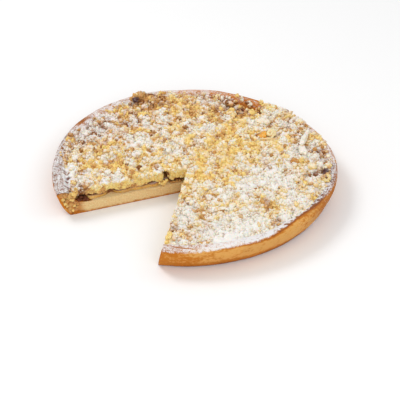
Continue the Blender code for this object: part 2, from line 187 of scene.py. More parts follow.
# Lumps that hang out of the far cut face: distance, height, how far they stand out, radius
FACE_LUMPS = metres([
    (21.5, 17.5, 0.2, 1.6), (22.5, 15.5, 0.6, 1.7), (24, 14, 1.2, 1.8), (25.2, 12.4, 1.6, 1.4),
    (26.2, 15, 0.8, 1.7), (24, 16.8, 1, 1.8), (28.5, 16, 0.4, 1.5), (2, 18.2, 0, 1.6), (6, 19, 0.2, 1.7),
    (9.5, 20, 0.2, 1.6), (15, 18.2, 0.5, 1.7), (16.5, 19.5, 0, 1.4), (115, 23.6, 0, 2.4),
    (119.2, 21.6, 0, 3), (123.2, 23.2, 0, 2.4), (121.4, 16.8, 0, 2.9), (116.8, 17.4, 0, 2.4),
    (125, 19.2, 0, 2.3), (118, 12.4, 0, 2.5), (121.4, 11, 0, 2.1), (114, 20, 0, 1.9),
    (115, 9.8, -0.2, 2.2), (119, 8, -0.2, 2), (112, 7.5, -0.4, 1.7), (116.5, 5, -0.4, 1.8),
    (123.2, 14, -0.2, 2), (111, 10.5, -0.6, 1.6),
])

# Dark lumps at the bottom of the filling's hollows, painted shade for the dark voids there: distance, height,
# depth into the pie, radius
PAINTED_SHADE_LUMPS = metres([
    (4, 12.8, 2.2, 1.5), (7, 13, 2, 1.7), (10, 12.9, 2.2, 1.8), (13, 13, 2.2, 1.7),
    (15.8, 12.9, 2.4, 1.6), (8.5, 14, 4.8, 2.2), (11.8, 14.2, 5, 2.2), (14.8, 14, 5, 2),
    (5.5, 14, 4.6, 1.9), (101.5, 13.4, 2.2, 1.8), (104.5, 13.6, 2, 2), (107.5, 13.8, 2.2, 2),
    (110, 14.2, 2.2, 1.8), (103, 14.8, 4.4, 2.2), (106.5, 15, 4.6, 2.4),
])

# Piles of crumbs that rise over the rest: x, y, spread, rise, crumbs in them
HEAPS = metres([
    (-56, 120, 5, 5.2, 58), (-47.5, 117, 6.5, 3.4, 50), (-29, 119, 9, 2.6, 60), (80, 96.5, 8.5, 3.4, 90),
    (93, 88, 9, 2.8, 80), (106, 74, 9, 2, 60), (124, 40, 9, 1.4, 45), (126.2, -24.5, 7, 2.2, 40),
    (126.2, -6, 6, 1.4, 30), (35, 112, 4.5, 2, 14), (48, 106, 4.5, 1.6, 12), (60, 111, 6, 0, 5),
    (70, 103.5, 6, 0, 5), (48, 118, 5.5, 0, 8),
], lengths=4)

# Single longer lumps: x, y, height over the ground, length, width, thickness, heading, brown, sugar
SLABS = metres([
    (115.7, 52.5, 2.8, 13, 4, 3.6, 70, 0.05, 0.95), (113.7, 45.5, 2.9, 14, 4.2, 3.6, 70, 0.05, 1),
    (111.4, 38.5, 3, 14, 4.4, 3.6, 72, 0.05, 1), (109.4, 31.5, 3, 14, 5.2, 3.6, 76, 0.05, 1),
    (108.6, 24.5, 2.8, 13, 7, 3.8, 88, 0.05, 1), (109.2, 16.5, 2.4, 13, 8, 4, 98, 0.05, 1),
    (126.2, -20.5, 1, 7, 4.6, 3, 20, 1.16, 0.42), (130, -26.2, 0.8, 6, 4, 2.8, 60, 1.12, 0.5),
    (124, -13.5, 0.8, 5, 3.6, 2.8, 100, 1.1, 0.46), (119, -24, 1.2, 6.2, 4.8, 3.6, 40, 1.12, 0.38),
    (114.5, -21, 0.8, 5.2, 4, 3, 10, 0.9, 0.3), (116.4, -10.6, 1.8, 8.8, 7.6, 5.6, 20, 0.16, 0.62),
    (121.4, 21.9, 2.2, 4.6, 3.8, 3.6, 0, 0.6, -0.2), (129, 25, 1.8, 3.8, 3.4, 3.2, 50, 0.68, -0.2),
    (40.4, 96.5, 2.4, 6, 5.4, 4.6, 10, 0.14, -0.05), (29.3, 101.7, 2, 5, 4.5, 4.2, 80, 0.14, 0.05),
    # The three thin dark sticks with brown 1.3 and no sugar, along the foot of the hollow, are painted shade
    # for the crevices there
    (46.5, 104, 0.8, 9, 2.6, 2.4, -24, 1.3, -0.6), (53.5, 100.5, 0.8, 8, 2.4, 2.4, -26, 1.3, -0.6),
    (70, 91.5, 0.8, 6, 2.6, 2.4, -45, 1.3, -0.6), (35, 112.5, 2.2, 6, 2.8, 4, 70, 0.95, -0.3),
    (70, 76, 1, 13, 9.5, 5, 15, 0.2, 0.72), (76, 70, 1.2, 8, 6, 4, 60, 0.2, 0.72),
    (93.5, -3, 1.2, 12, 4, 3, 112, 0.05, 0.95), (12, -124.5, 0.6, 10, 4.8, 3.4, 165, 0.42, 0.2),
    (77, 61, 2, 6.5, 2.4, 2.2, 58, 0.8, -0.2), (61, 95, 3.4, 6.6, 5.8, 5.2, 10, 0.16, -0.1),
    (48, 108, 3, 4.6, 4.2, 4, 30, 0.16, 0.05), (39, 111, 3, 7.5, 5.4, 4.8, 150, 0.5, 0.6),
    (103, 50, 1.2, 11, 3, 2.6, -6, 0.6, -0.1), (-24, 21.5, 1.6, 7, 4, 3, 60, 0.05, 1),
    (-72, -13, 1.2, 8, 2.6, 2.4, 95, 0.05, 0.95),
], lengths=6)

# Where icing sugar lies thick or thin on the crumble: x, y, spread, amount
SUGAR_ZONES = metres([
    (80, -26, 30, 0.56), (46, -42, 16, 0.25), (24, -120, 18, 0.4), (-8, -82, 18, 0.44),
    (48, -98, 24, 0.44), (95, -80, 20, 0.22), (-22, 22, 10, 0.35), (-32, 72, 22, 0.28), (12, 70, 18, 0.2),
    (72, 74, 15, 0.3), (110, 22, 14, 0.45), (-76, -28, 14, 0.35), (-70, 12, 14, 0.2),
    (-118, 68, 22, 0.22), (-90, 54, 18, 0.16), (-120, -20, 18, 0.3), (-60, 40, 20, 0.18),
    (100, 70, 20, 0.2), (0, -20, 26, 0.08), (-85, -8, 18, -0.22), (-12, 104, 20, -0.34),
    (38, 56, 18, -0.16), (58, 30, 22, -0.1), (70, -68, 9, -0.3), (22, 12, 24, -0.05), (102, -4, 14, -0.3),
    (-50, 104, 22, -0.3), (52, 101, 16, -0.4), (28, -20, 18, -0.18), (-124, 44, 10, -0.25),
    (-56, 120, 11, -0.22), (-80, 30, 60, -0.08), (0, 60, 40, -0.05), (108, 60, 28, -0.1),
    (-3, -6, 11, -0.06), (83, 100, 12, 0.1),
], lengths=3)

# Where the crumble is browned: x, y, spread, amount
BROWN_ZONES = metres([
    (-52, 112, 22, 0.36), (-36, 118, 12, 0.32), (-96, 60, 8, 0.75), (-112, 44, 12, 0.45),
    (-12, 12, 8, 0.22), (4, 30, 9, 0.25), (-16, -104, 10, 0.4), (-114, -46, 14, 0.65), (125, 22, 9, 0.65),
    (50, 102, 15, 0.55), (36, 112, 8, 0.5), (103, 49, 5, 0.7), (121, -20, 9, 0.55), (68, -70, 9, 0.3),
    (-60, 70, 16, 0.25), (-90, 80, 20, 0.25), (10, 118, 20, 0.25), (128, -2, 10, 0.3),
    (-56, 121, 9, 0.12), (15, 100, 30, 0.17), (115, 0, 30, 0.08), (30, 30, 34, -0.12),
    (8, -102, 26, 0.14), (-3, -6, 13, -0.26), (-100, 62, 28, 0.22), (-125, 30, 18, 0.2),
    (-20, 50, 30, 0.12), (-105, -40, 15, 0.12), (110, 62, 28, 0.16), (10, -18, 24, -0.08),
], lengths=3)

# The curled slice of apple: the middle of its ring, the way its strip winds off round that, as angle and
# distance, and the places along it that crumbs must not cover: x, y, radius
CURL_CENTRE = (78.2, 48.8, 0)
CURL_STRIP = [
    (120, 4.2), (95, 4.3), (70, 4.4), (45, 4.5), (20, 4.6), (-5, 4.7), (-28, 4.9), (-48, 5.3), (-64, 6),
    (-79, 7.1), (-92, 8.6), (-104, 10.4), (-114, 12.2), (-122, 13.8),
]
CURL_SPOTS = metres([(78.2, 48.8, 5), (81.5, 43.6, 3), (78.8, 40.2, 3.1), (75, 37.5, 3), (71.2, 35.8, 2.6)])


class PieSizes(bpy.types.PropertyGroup):
    case_steps: IntProperty(name="Case steps", description="Steps round the pastry case", default=620, min=90)
    cut_rows: IntProperty(name="Cut rows", description="Rows up a cut face of the case", default=22, min=4)
    bed_cell: FloatProperty(
        name="Bed cell", description="Mesh size of the crumble's core", default=0.00090, unit="LENGTH"
    )
    clumps: IntProperty(name="Clumps", description="Clumps of 6 to 9 mm", default=130, min=0)
    medium_crumbs: IntProperty(name="Medium crumbs", description="Crumbs of 3 to 5 mm", default=3200, min=0)
    small_crumbs: IntProperty(name="Small crumbs", description="Crumbs of 1.5 to 3 mm", default=6800, min=0)
    grains: IntProperty(name="Grains", description="Loose grains of crumb, about 1 mm", default=2600, min=0)
    focal_length: FloatProperty(name="Focal length", description="Lens in millimetres", default=115.956)


class PieColours(bpy.types.PropertyGroup):
    golden: FloatVectorProperty(
        name="Golden crust", description="Baked side", subtype="COLOR_GAMMA", default=(0.755, 0.45, 0.11)
    )
    blond: FloatVectorProperty(
        name="Blond crust", description="Lightly baked", subtype="COLOR_GAMMA", default=(0.86, 0.64, 0.34)
    )
    russet: FloatVectorProperty(
        name="Russet crust", description="Darkest pastry", subtype="COLOR_GAMMA", default=(0.56, 0.31, 0.14)
    )
    # Also the painted shade on the outer side at the right
    dusky: FloatVectorProperty(
        name="Dusky crust", description="Pastry under thin sugar", subtype="COLOR_GAMMA",
        default=(0.40, 0.28, 0.24),
    )
    pale: FloatVectorProperty(
        name="Pale pastry", description="Pastry where cut", subtype="COLOR_GAMMA", default=(0.90, 0.80, 0.59)
    )
    butter: FloatVectorProperty(
        name="Butter crumb", description="Yellow crumb", subtype="COLOR_GAMMA", default=(0.952, 0.832, 0.525)
    )
    tan: FloatVectorProperty(
        name="Tan crumb", description="Browned crumb", subtype="COLOR_GAMMA", default=(0.81, 0.61, 0.36)
    )
    toasted: FloatVectorProperty(
        name="Toasted crumb", description="Darkest crumb", subtype="COLOR_GAMMA", default=(0.53, 0.325, 0.165)
    )
    sugar: FloatVectorProperty(
        name="Icing sugar", description="Icing sugar", subtype="COLOR_GAMMA", default=(0.928, 0.927, 0.928)
    )
    apple: FloatVectorProperty(
        name="Apple filling", description="Stewed apple", subtype="COLOR_GAMMA", default=(0.80, 0.59, 0.22)
    )
    amber: FloatVectorProperty(
        name="Amber apple", description="Glazed apple", subtype="COLOR_GAMMA", default=(0.96, 0.67, 0.12)
    )
    raisin: FloatVectorProperty(
        name="Raisin", description="Raisin skin", subtype="COLOR_GAMMA", default=(0.30, 0.15, 0.15)
    )


# Sums that several pieces share

def clamp(value):
    return min(1.0, max(0.0, value))


def smoothstep(low, high, value):
    """0 before low and 1 past high, or 1 before it and 0 past it where low is the larger."""
    share = clamp((value - low) / (high - low))
    return share * share * (3 - 2 * share)


def plateau(value, foot, top, brink, end):
    """0 up to foot, 1 from top to brink, and 0 again from end on."""
    return smoothstep(foot, top, value) * smoothstep(end, brink, value)


def bell(value, middle, spread):
    return math.exp(-(((value - middle) / spread) ** 2))


def lookup(table, value):
    """The table's second number at a value of its first, in straight lines between its rows."""
    return float(np.interp(value, [row[0] for row in table], [row[1] for row in table]))


def zone_sum(zones, x, y):
    return sum(a * math.exp(-((x - zx) ** 2 + (y - zy) ** 2) / (r * r)) for zx, zy, r, a in zones)


def flat_noise(scale, x, y, layer):
    """Smooth noise over a level. Each layer number has a pattern of its own."""
    return noise.noise(Vector((x * scale, y * scale, layer)))


def cell_distance(x, y, z):
    """The distance to the nearest of points scattered one a cell."""
    return noise.voronoi(Vector((x, y, z)))[0][0]


def weighted(first, share, second, other_share):
    """The sum of two colours, each times its own share."""
    return tuple(share * a + other_share * b for a, b in zip(first, second))


# The pie's outline and surfaces

def outline_factor(angle):
    """How far the outline strays from a circle."""
    return 1 - 0.0058 * math.sin(2 * angle) + 0.0156 * math.cos(3 * angle) - 0.0046 * math.sin(3 * angle)


def outline_shift():
    """From the outline's own centre to the middle of the case's box, as the solids are placed."""
    turns = [2 * math.pi * i / 72 for i in range(72)]
    xs = [RIM_RADIUS * outline_factor(turn) * math.cos(turn) for turn in turns]
    ys = [RIM_RADIUS * outline_factor(turn) * math.sin(turn) for turn in turns]
    return Vector((-(min(xs) + max(xs)) / 2, -(min(ys) + max(ys)) / 2, 0.0))


SHIFT = outline_shift()


def box_middle(node):
    """The middle of a node's box, from the outline's own centre."""
    low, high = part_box(node)
    return (low + high) / 2 - SHIFT


def turn_of(angle):
    """The angle round the pie in degrees, from 0 to 360."""
    return math.degrees(angle) % 360


def rim_wave(angle):
    """The rise and fall of the rim's top along its length."""
    slow = 0.00045 * math.sin(5 * angle + 1.0)
    quick = 0.00035 * math.sin(9 * angle + 2.3) + 0.00025 * math.sin(14 * angle)
    return slow + quick


def reach(radius, heading):
    """Distance from the cut point along a heading to the outline shrunk to that radius."""
    distance = radius
    for _ in range(6):
        x, y = along(heading, distance)
        distance += radius * outline_factor(math.atan2(y, x)) - math.hypot(x, y)
    return distance


def along(heading, distance):
    return CUT_POINT[0] + distance * math.cos(heading), CUT_POINT[1] + distance * math.sin(heading)


def from_cut_point(x, y):
    return math.hypot(x - CUT_POINT[0], y - CUT_POINT[1])


def inward_of(face):
    """The level direction from a cut face into the pie: face 0 is the far one, 1 the near one."""
    if face:
        return -math.sin(NEAR_ANGLE), math.cos(NEAR_ANGLE)
    return math.sin(FAR_ANGLE), -math.cos(FAR_ANGLE)


def behind_cut(face, distance, back):
    """The place at a distance along a cut face, and that far back into the pie."""
    x, y = along((FAR_ANGLE, NEAR_ANGLE)[face], distance)
    inward = inward_of(face)
    return x + inward[0] * back, y + inward[1] * back


def polar(x, y):
    """Angle round the pie, and the radius as it would be on a true circle."""
    angle = math.atan2(y, x)
    return angle, math.hypot(x, y) / outline_factor(angle)


def cut_depth(x, y):
    """Distance into the pie from the nearer cut face, negative in the opening, and which face it is."""
    far, near = inward_of(0), inward_of(1)
    dx, dy = x - CUT_POINT[0], y - CUT_POINT[1]
    to_far = dx * far[0] + dy * far[1]
    to_near = dx * near[0] + dy * near[1]
    return (to_far, 0) if to_far > to_near else (to_near, 1)


def rim_height(radius):
    """The height of the case's inner side and rim at a radius."""
    return lookup(INNER_SIDE + OUTER_SIDE[1:2], radius)


def inner_radius(height):
    """The radius of the case's inner side at a height."""
    return lookup([(point[1], point[0]) for point in INNER_SIDE[:8]], height)


def hollow_share(angle):
    """1 in the middle of the hollow at the back right, where the crumble stands low, and 0 far from it."""
    return bell(angle, HOLLOW_ANGLE, HOLLOW_SPREAD)


def clump_dome(x, y):
    """1 on the top of the clump that the point lies on, and 0 in the valleys between the clumps."""
    return 1 - min(1.0, cell_distance(x / BUMP_SPACING, y / BUMP_SPACING, 5.0) * 1.5) ** 2


def heap_rise(x, y):
    return zone_sum([heap[:4] for heap in HEAPS], x, y)


def bed_top(x, y):
    """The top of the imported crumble. It runs level into the rim, but stays low in the hollow."""
    angle, radius = polar(x, y)
    share = radius / CRUMBLE_RADIUS
    crown = CRUMBLE_CROWN * math.sin(math.pi * min(1.0, share) ** 1.6)
    swell = 0.0011 * flat_noise(28, x, y, 2.0) + 0.0009 * flat_noise(130, x, y, 6.0)
    low = hollow_share(angle)
    hollow = HOLLOW_DEPTH * low * clamp((share - 0.72) / 0.18)
    bump = BUMP_HEIGHT * (clump_dome(x, y) - 0.5)
    height = CRUMBLE_TOP + crown + swell + bump - hollow - 0.0006
    level = rim_height(radius) + rim_wave(angle) + 0.0005 - 0.0012 * smoothstep(0.1270, 0.1305, radius)
    return height + (level - height) * smoothstep(0.1215, 0.1290, radius) * (1 - low) + heap_rise(x, y)


def crumble_reach(angle):
    """How far out the crumbs lie."""
    ragged_edge = 0.0012 * flat_noise(9, math.cos(angle), math.sin(angle), 1.0)
    return lookup(CRUMB_EDGE, turn_of(angle)) / 1000 + ragged_edge


# Mesh and material helpers

def add_piece(name, bm, material, replaced=()):
    """Makes the bmesh a finished piece that rides on the pie."""
    mesh = bpy.data.meshes.new(name)
    bm.to_mesh(mesh)
    bm.free()
    finish_piece(name, mesh, material, replaced)


def finish_piece(name, mesh, material, replaced=()):
    """Moves the mesh from the outline's centre to its real place, hangs it on the pie's body and hides the
    solids it replaces.
    """
    mesh.transform(Matrix.Translation(SHIFT))
    mesh.shade_smooth()
    mesh.materials.append(material)
    obj = bpy.data.objects.new(name, mesh)
    bpy.context.scene.collection.objects.link(obj)
    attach(obj, BODY)
    if replaced:
        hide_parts(*replaced)


def float_layer(bm, name):
    return bm.verts.layers.float.new(name)


def set_down(bm, verts, turn, place):
    bmesh.ops.rotate(bm, matrix=Euler(turn).to_matrix(), verts=verts)
    bmesh.ops.translate(bm, vec=place, verts=verts)


def linear(colour):
    """A picked screen colour as the shader's linear one."""
    return tuple(c / 12.92 if c <= 0.04045 else ((c + 0.055) / 1.055) ** 2.4 for c in colour) + (1.0,)


class Finish:
    """Lays out one material's nodes."""

    def __init__(self, name):
        self.material = bpy.data.materials.new(name)
        self.material.use_nodes = True
        self.tree = self.material.node_tree
        self.colours = bpy.context.scene.pie_colours
        self.shader = self.tree.nodes["Principled BSDF"]
        self.place = self.node("TexCoord", {}).outputs["Object"]

    def feed(self, value, socket):
        """Links a value that comes out of a node, and sets a plain one."""
        if isinstance(value, bpy.types.NodeSocket):
            self.tree.links.new(value, socket)
        else:
            socket.default_value = value

    def node(self, kind, inputs, **settings):
        """A new node with its settings made and its inputs fed."""
        node = self.tree.nodes.new("ShaderNode" + kind)
        for name, value in settings.items():
            setattr(node, name, value)
        for name, value in inputs.items():
            self.feed(value, node.inputs[name])
        return node

    def tint(self, name):
        return linear(getattr(self.colours, name))

    def juice_and_shade(self):
        """The dark colour of baked-in juices, also laid on as painted shade in hollows and deep gaps."""
        return linear(weighted(self.colours.russet, 0.45, self.colours.raisin, 0.55))

    def noise(self, scale, detail=3.0, roughness=0.6, place=None):
        inputs = {"Scale": scale, "Detail": detail, "Roughness": roughness, "Vector": place or self.place}
        return self.node("TexNoise", inputs).outputs["Fac"]

    def cells(self, scale):
        return self.node("TexVoronoi", {"Scale": scale, "Vector": self.place}).outputs["Distance"]

    def attribute(self, name):
        return self.node("Attribute", {}, attribute_name=name).outputs["Fac"]

    def math(self, kind, a, b=0.0, clamp=False):
        return self.node("Math", {0: a, 1: b}, operation=kind, use_clamp=clamp).outputs[0]

    def total(self, *values, clamp=False):
        result = values[0]
        for i, value in enumerate(values[1:]):
            result = self.math("ADD", result, value, clamp=clamp and i == len(values) - 2)
        return result

    def span(self, value, low, high, to_low=0.0, to_high=1.0):
        inputs = {"Value": value, "From Min": low, "From Max": high, "To Min": to_low, "To Max": to_high}
        return self.node("MapRange", inputs, interpolation_type="SMOOTHSTEP").outputs["Result"]

    def mottle(self, value, amount):
        """A noise as an amount to add, from minus that much to plus."""
        return self.span(value, 0.3, 0.7, -amount, amount)

    def mix(self, share, a, b):
        return self.node("Mix", {"Factor": share, "A": a, "B": b}, data_type="RGBA").outputs["Result"]

    def bump(self, height, strength, distance):
        node = self.node("Bump", {"Strength": strength, "Distance": distance, "Height": height})
        self.feed(node.outputs["Normal"], self.shader.inputs["Normal"])

    def grainy(self, fine, grain_scale, strength, distance):
        """Relief from a fine noise and a finer one."""
        grain = self.math("MULTIPLY", self.noise(grain_scale, 2), 0.4)
        self.bump(self.math("ADD", self.math("MULTIPLY", fine, 0.6), grain), strength, distance)

    def dusted(self, colour, amount, most, uneven, cream=0.0):
        """The colour under icing sugar, as thick as the amount says and finely mottled."""
        patches = self.mottle(self.noise(380), 0.16 * uneven)
        specks = self.mottle(self.noise(1150, 2), 0.22 * uneven)
        powder = self.span(self.total(amount, patches, specks), 0.16, 0.86, 0.0, most)
        return self.mix(powder, colour, weighted(self.tint("sugar"), 1 - cream, self.tint("butter"), cream))

    def surface(self, **values):
        for name, value in values.items():
            self.feed(value, self.shader.inputs[name.replace("_", " ")])
        return self.material


def pastry_finish():
    """Golden baked outside, pale crumb at the cuts, icing sugar on the rim."""
    finish = Finish("baked_pastry")
    round_it = finish.node("CombineXYZ", {"X": finish.attribute("around"), "Y": finish.attribute("across")})
    rings = finish.noise(1.0, place=round_it.outputs["Vector"])
    fine = finish.noise(900)
    tone = finish.total(
        finish.attribute("baked"), finish.mottle(finish.noise(38, roughness=0.55), 0.14),
        finish.mottle(rings, 0.10), finish.mottle(finish.noise(330), 0.16), clamp=True,
    )
    skin = finish.mix(finish.span(tone, 0.0, 0.36), finish.tint("blond"), finish.tint("golden"))
    skin = finish.mix(finish.span(tone, 0.40, 1.0), skin, finish.tint("russet"))
    crumb = finish.mix(finish.span(fine, 0.3, 0.7, 0.0, 0.35), finish.tint("pale"), finish.tint("golden"))
    crumb = finish.mix(finish.span(finish.cells(700), 0.0, 0.35, 0.45, 0.0), crumb, finish.tint("golden"))
    colour = finish.mix(finish.attribute("cut"), skin, crumb)
    streaks = finish.span(rings, 0.32, 0.68, -0.13, 0.13)
    swirl = finish.math("ABSOLUTE", finish.math("SUBTRACT", finish.noise(230, 2, 0.5), 0.5))
    lines = finish.span(swirl, 0.0, 0.05, -0.26, 0.04)
    amount = finish.total(finish.attribute("sugar"), streaks, finish.mottle(finish.noise(150), 0.12), lines)
    # The greyed attribute mixes in the dusky colour: a thin veil of sugar on the rim, and painted shade on
    # the outer side at the right
    veil_and_shade = finish.math("MULTIPLY", finish.attribute("greyed"), 0.85)
    colour = finish.dusted(finish.mix(veil_and_shade, colour, finish.tint("dusky")), amount, 0.86, 0.6)
    finish.grainy(fine, 2600, 0.45, 0.0005)
    return finish.surface(
        Base_Color=colour, Roughness=0.65, Subsurface_Weight=0.06, Subsurface_Scale=0.002,
        Specular_IOR_Level=0.12,
    )


def crumb_finish(name="butter_crumb", cream=0.16):
    """Butter crumb, browned by its own attribute, under a dusting of icing sugar."""
    finish = Finish(name)
    brown = finish.attribute("brown")
    fine = finish.noise(1300, 3, 0.65)
    patch = finish.mottle(finish.noise(240), 0.09)
    tone = finish.total(brown, patch, finish.span(fine, 0.3, 0.7, -0.05, 0.06), clamp=True)
    colour = finish.mix(finish.span(tone, 0.08, 0.50), finish.tint("butter"), finish.tint("tan"))
    colour = finish.mix(finish.span(tone, 0.50, 1.0), colour, finish.tint("toasted"))
    # Brown past 1.05 turns towards the dark colour: painted shade in the deep gaps and hollows at the cut
    # faces and along the hollow's foot, and dark marks under the sugar on the left rim and on a few lumps
    colour = finish.mix(finish.span(brown, 1.05, 1.25, 0.0, 0.9), colour, finish.juice_and_shade())
    colour = finish.dusted(colour, finish.attribute("sugar"), 0.92, 0.45, cream)
    finish.grainy(fine, 3200, 0.5, 0.0004)
    return finish.surface(
        Base_Color=colour, Roughness=0.75, Subsurface_Weight=0.14, Subsurface_Scale=0.0015,
        Specular_IOR_Level=0.20,
    )


def apple_finish(name, tint, depth, with_painted_shade=False):
    """Stewed apple: moist and a little see-through, paler in the chunks than in the juice between them."""
    finish = Finish(name)
    fibres = finish.noise(500)
    tint = linear(tint)
    colour = finish.mix(finish.span(finish.cells(95), 0.25, 0.75), tint, finish.tint("russet"))
    colour = finish.mix(depth, tint, colour)
    colour = finish.mix(finish.span(fibres, 0.3, 0.75, 0.0, 0.35), colour, finish.tint("butter"))
    # Painted shade in the filling's hollows, laid on by its attribute
    if with_painted_shade:
        colour = finish.mix(finish.attribute("juice_and_shade"), colour, finish.juice_and_shade())
    elif depth:
        burnt = finish.span(finish.attribute("burnt"), 0.35, 0.75, 0.0, 0.85)
        colour = finish.mix(burnt, colour, finish.tint("russet"))
    finish.bump(fibres, 0.35, 0.0005)
    return finish.surface(
        Base_Color=colour, Roughness=0.24, Subsurface_Weight=0.30, Subsurface_Scale=0.003, Coat_Weight=0.4,
        Coat_Roughness=0.12,
    )


# The pastry case

def resample(points, count):
    """The same line with evenly spaced points and rounded corners."""
    line = [Vector(point) for point in points]
    for _ in range(2):
        cut = [line[0]]
        for a, b in zip(line, line[1:]):
            cut += [a.lerp(b, 0.25), a.lerp(b, 0.75)]
        line = cut + [line[-1]]
    steps = [0.0]
    for a, b in zip(line, line[1:]):
        steps.append(steps[-1] + (b - a).length)
    marks = np.linspace(0, steps[-1], count + 1)
    xs = np.interp(marks, steps, [point.x for point in line])
    ys = np.interp(marks, steps, [point.y for point in line])
    return list(zip(xs.tolist(), ys.tolist()))


def swept_body(top, bottom, floor_cells, steps, rows):
    """A layer of the pie swept round from one cut face to the other.

    top and bottom are matching lines of (radius, height) from the floor's edge outwards, and they end at the
    same point. The cut faces get a close mesh, and the level floor and underside one face each.
    """
    bm = bmesh.new()
    ring = float_layer(bm, "ring")
    across = float_layer(bm, "across")
    chain = top + bottom[::-1][1:]
    made = []
    walked = 0.0
    for i, (radius, height) in enumerate(chain):
        vert = bm.verts.new((*along(NEAR_ANGLE, reach(radius, NEAR_ANGLE)), height))
        vert[ring] = radius
        walked += math.dist(chain[i], chain[max(0, i - 1)])
        vert[across] = walked * RINGS_ACROSS
        made.append(vert)
    edges = [bm.edges.new(pair) for pair in zip(made, made[1:])]
    centre = (*CUT_POINT, 0.0)
    bmesh.ops.spin(bm, geom=made + edges, cent=centre, axis=(0, 0, 1), angle=SWEEP, steps=steps)
    for vert in bm.verts:
        heading = math.atan2(vert.co.y - CUT_POINT[1], vert.co.x - CUT_POINT[0])
        vert.co.x, vert.co.y = along(heading, reach(vert[ring], heading))
    for heading in (NEAR_ANGLE, FAR_ANGLE):
        cut_face(bm, heading, top, bottom, floor_cells, rows)
    bmesh.ops.remove_doubles(bm, verts=bm.verts, dist=MERGE_DISTANCE)
    open_edges = [edge for edge in bm.edges if edge.is_boundary]
    bmesh.ops.holes_fill(bm, edges=open_edges, sides=0)
    bmesh.ops.recalc_face_normals(bm, faces=bm.faces)
    return bm


def cut_face(bm, heading, top, bottom, floor_cells, rows):
    """One cut face as a close grid between the layer's floor or underside and its upper line."""
    columns = floor_cells + len(top) - 1
    grid = bmesh.ops.create_grid(bm, x_segments=columns, y_segments=rows, size=0.5)["verts"]
    edge = reach(top[0][0], heading)

    def spot(line, column):
        if column <= floor_cells:
            return edge * column / floor_cells, line[0][1]
        radius, height = line[column - floor_cells]
        return reach(radius, heading), height

    for vert in grid:
        column = round((vert.co.x + 0.5) * columns)
        share = vert.co.y + 0.5
        low, high = spot(bottom, column), spot(top, column)
        distance = low[0] + share * (high[0] - low[0])
        vert.co = (*along(heading, distance), low[1] + share * (high[1] - low[1]))


class Spot:
    """A point of the case, with where it lies on the round, on the section and at the cut."""

    def __init__(self, place):
        x, y, z = place
        self.place = place.copy()
        self.z = z
        self.angle, self.radius = polar(x, y)
        self.turn = turn_of(self.angle)
        self.depth, self.face = cut_depth(x, y)
        self.at_cut = self.depth < 0.0006 and z < 0.0275
        self.at_skin = z < 0.0009 or self.radius > 0.1392 - (RIM_HEIGHT - z) * 0.43
        # How far it lies beyond the sugar's end, counted outwards and on down the outer side
        edge, edge_height = OUTER_SIDE[0]
        on_top = z > RIM_HEIGHT - 0.0012 or self.radius < 0.1359
        walked = self.radius if on_top else edge + edge_height - z
        self.past = walked - lookup(SUGAR_BORDER, self.turn) / 1000 - 0.0007 * flat_noise(130, x, y, 0.0)


def build_case(sizes):
    top = resample(INNER_SIDE, SECTION_STEPS)
    bottom = resample(OUTER_SIDE, SECTION_STEPS)[::-1]
    bm = swept_body(top, bottom, CASE_FLOOR_CELLS, sizes.case_steps, sizes.cut_rows)
    names = ("baked", "cut", "sugar", "around", "greyed")
    baked, cut, sugar, around, greyed = (float_layer(bm, name) for name in names)
    bm.normal_update()
    moves = []
    for vert in bm.verts:
        spot = Spot(vert.co)
        vert[around] = spot.angle * RINGS_AROUND
        vert[baked] = case_bake(spot)
        vert[sugar] = case_sugar(spot, vert.normal)
        vert[greyed] = case_veil_and_shade(spot)
        vert[cut] = pale_share(spot)
        wave = clamp((spot.z - WAVE_FOOT) / (RIM_HEIGHT - WAVE_FOOT)) * rim_wave(spot.angle)
        moves.append((vert, Vector((0.0, 0.0, wave)) + case_relief(spot, vert.normal)))
    for vert, move in moves:
        vert.co += move
    return bm


def case_relief(spot, normal):
    """How the surface strays from its even form: porous at a cut, torn at the far corner, else wavy."""
    push = Vector((0.0, 0.0, 0.0))
    place = spot.place
    if spot.at_cut and spot.z > 0.0004:
        pores = max(0.0, 0.42 - cell_distance(*place * 520))
        push = normal * (0.00028 * noise.fractal(place * 420, 1.0, 2.0, 3) - 0.00022 - 0.00075 * pores)
        if not spot.at_skin:
            torn = smoothstep(0.112, 0.118, spot.radius) * (1 - spot.face)
            pits = 0.0036 * (0.30 - min(0.8, cell_distance(*place * 250)))
            push += normal * torn * (pits + 0.0012 * noise.noise(place * 150) - 0.0006)
    elif spot.z > 0.0005:
        push = normal * (0.00035 * noise.noise(place * 60) + 0.00012 * noise.noise(place * 330) - 0.0003)
    if spot.face and spot.depth < FLARE_DEPTH and spot.z < RIM_HEIGHT:
        lean = NEAR_FACE_FLARE * from_cut_point(place.x, place.y) * (RIM_HEIGHT - spot.z) / RIM_HEIGHT
        push -= Vector((*inward_of(1), 0.0)) * lean * (1 - max(0.0, spot.depth) / FLARE_DEPTH)
    return push


def pale_share(spot):
    """Where the pale crumb shows: on the cut faces, but browned near the rim and along the bottom line."""
    if not spot.at_cut or spot.at_skin:
        return 0.0
    browned = smoothstep(0.110, 0.120, spot.radius) * (0.72 + 0.6 * noise.noise(spot.place * 160))
    bottom = smoothstep(0.0030, 0.0012, spot.z) * (0.8 + 1.2 * noise.noise(spot.place * 300))
    return 1.0 - clamp(browned) * (1.0 - 0.5 * spot.face) - 0.65 * bottom


def case_veil_and_shade(spot):
    """How far a thin veil of sugar dulls the skin on the rim, and how far painted shade darkens the outer
    side at the right, where it turns from the light.
    """
    turn, z = spot.turn, spot.z
    if turn > 290 and spot.radius > 0.128:
        on_top = smoothstep(0.0005, -0.0010, spot.past) * smoothstep(0.021, 0.025, z)
        # Outer side at the right, growing past 318 degrees: painted shade; the rim's top past the sugar's
        # end: the veil of sugar
        return (0.10 + 0.26 * smoothstep(318, 334, turn)) * smoothstep(0.008, 0.018, z) + 0.7 * on_top
    left = plateau(turn, 148, 158, 215, 240)
    return (0.35 + 0.55 * left) * smoothstep(0.0255, 0.0272, z) * smoothstep(31, 50, abs(turn - 60))


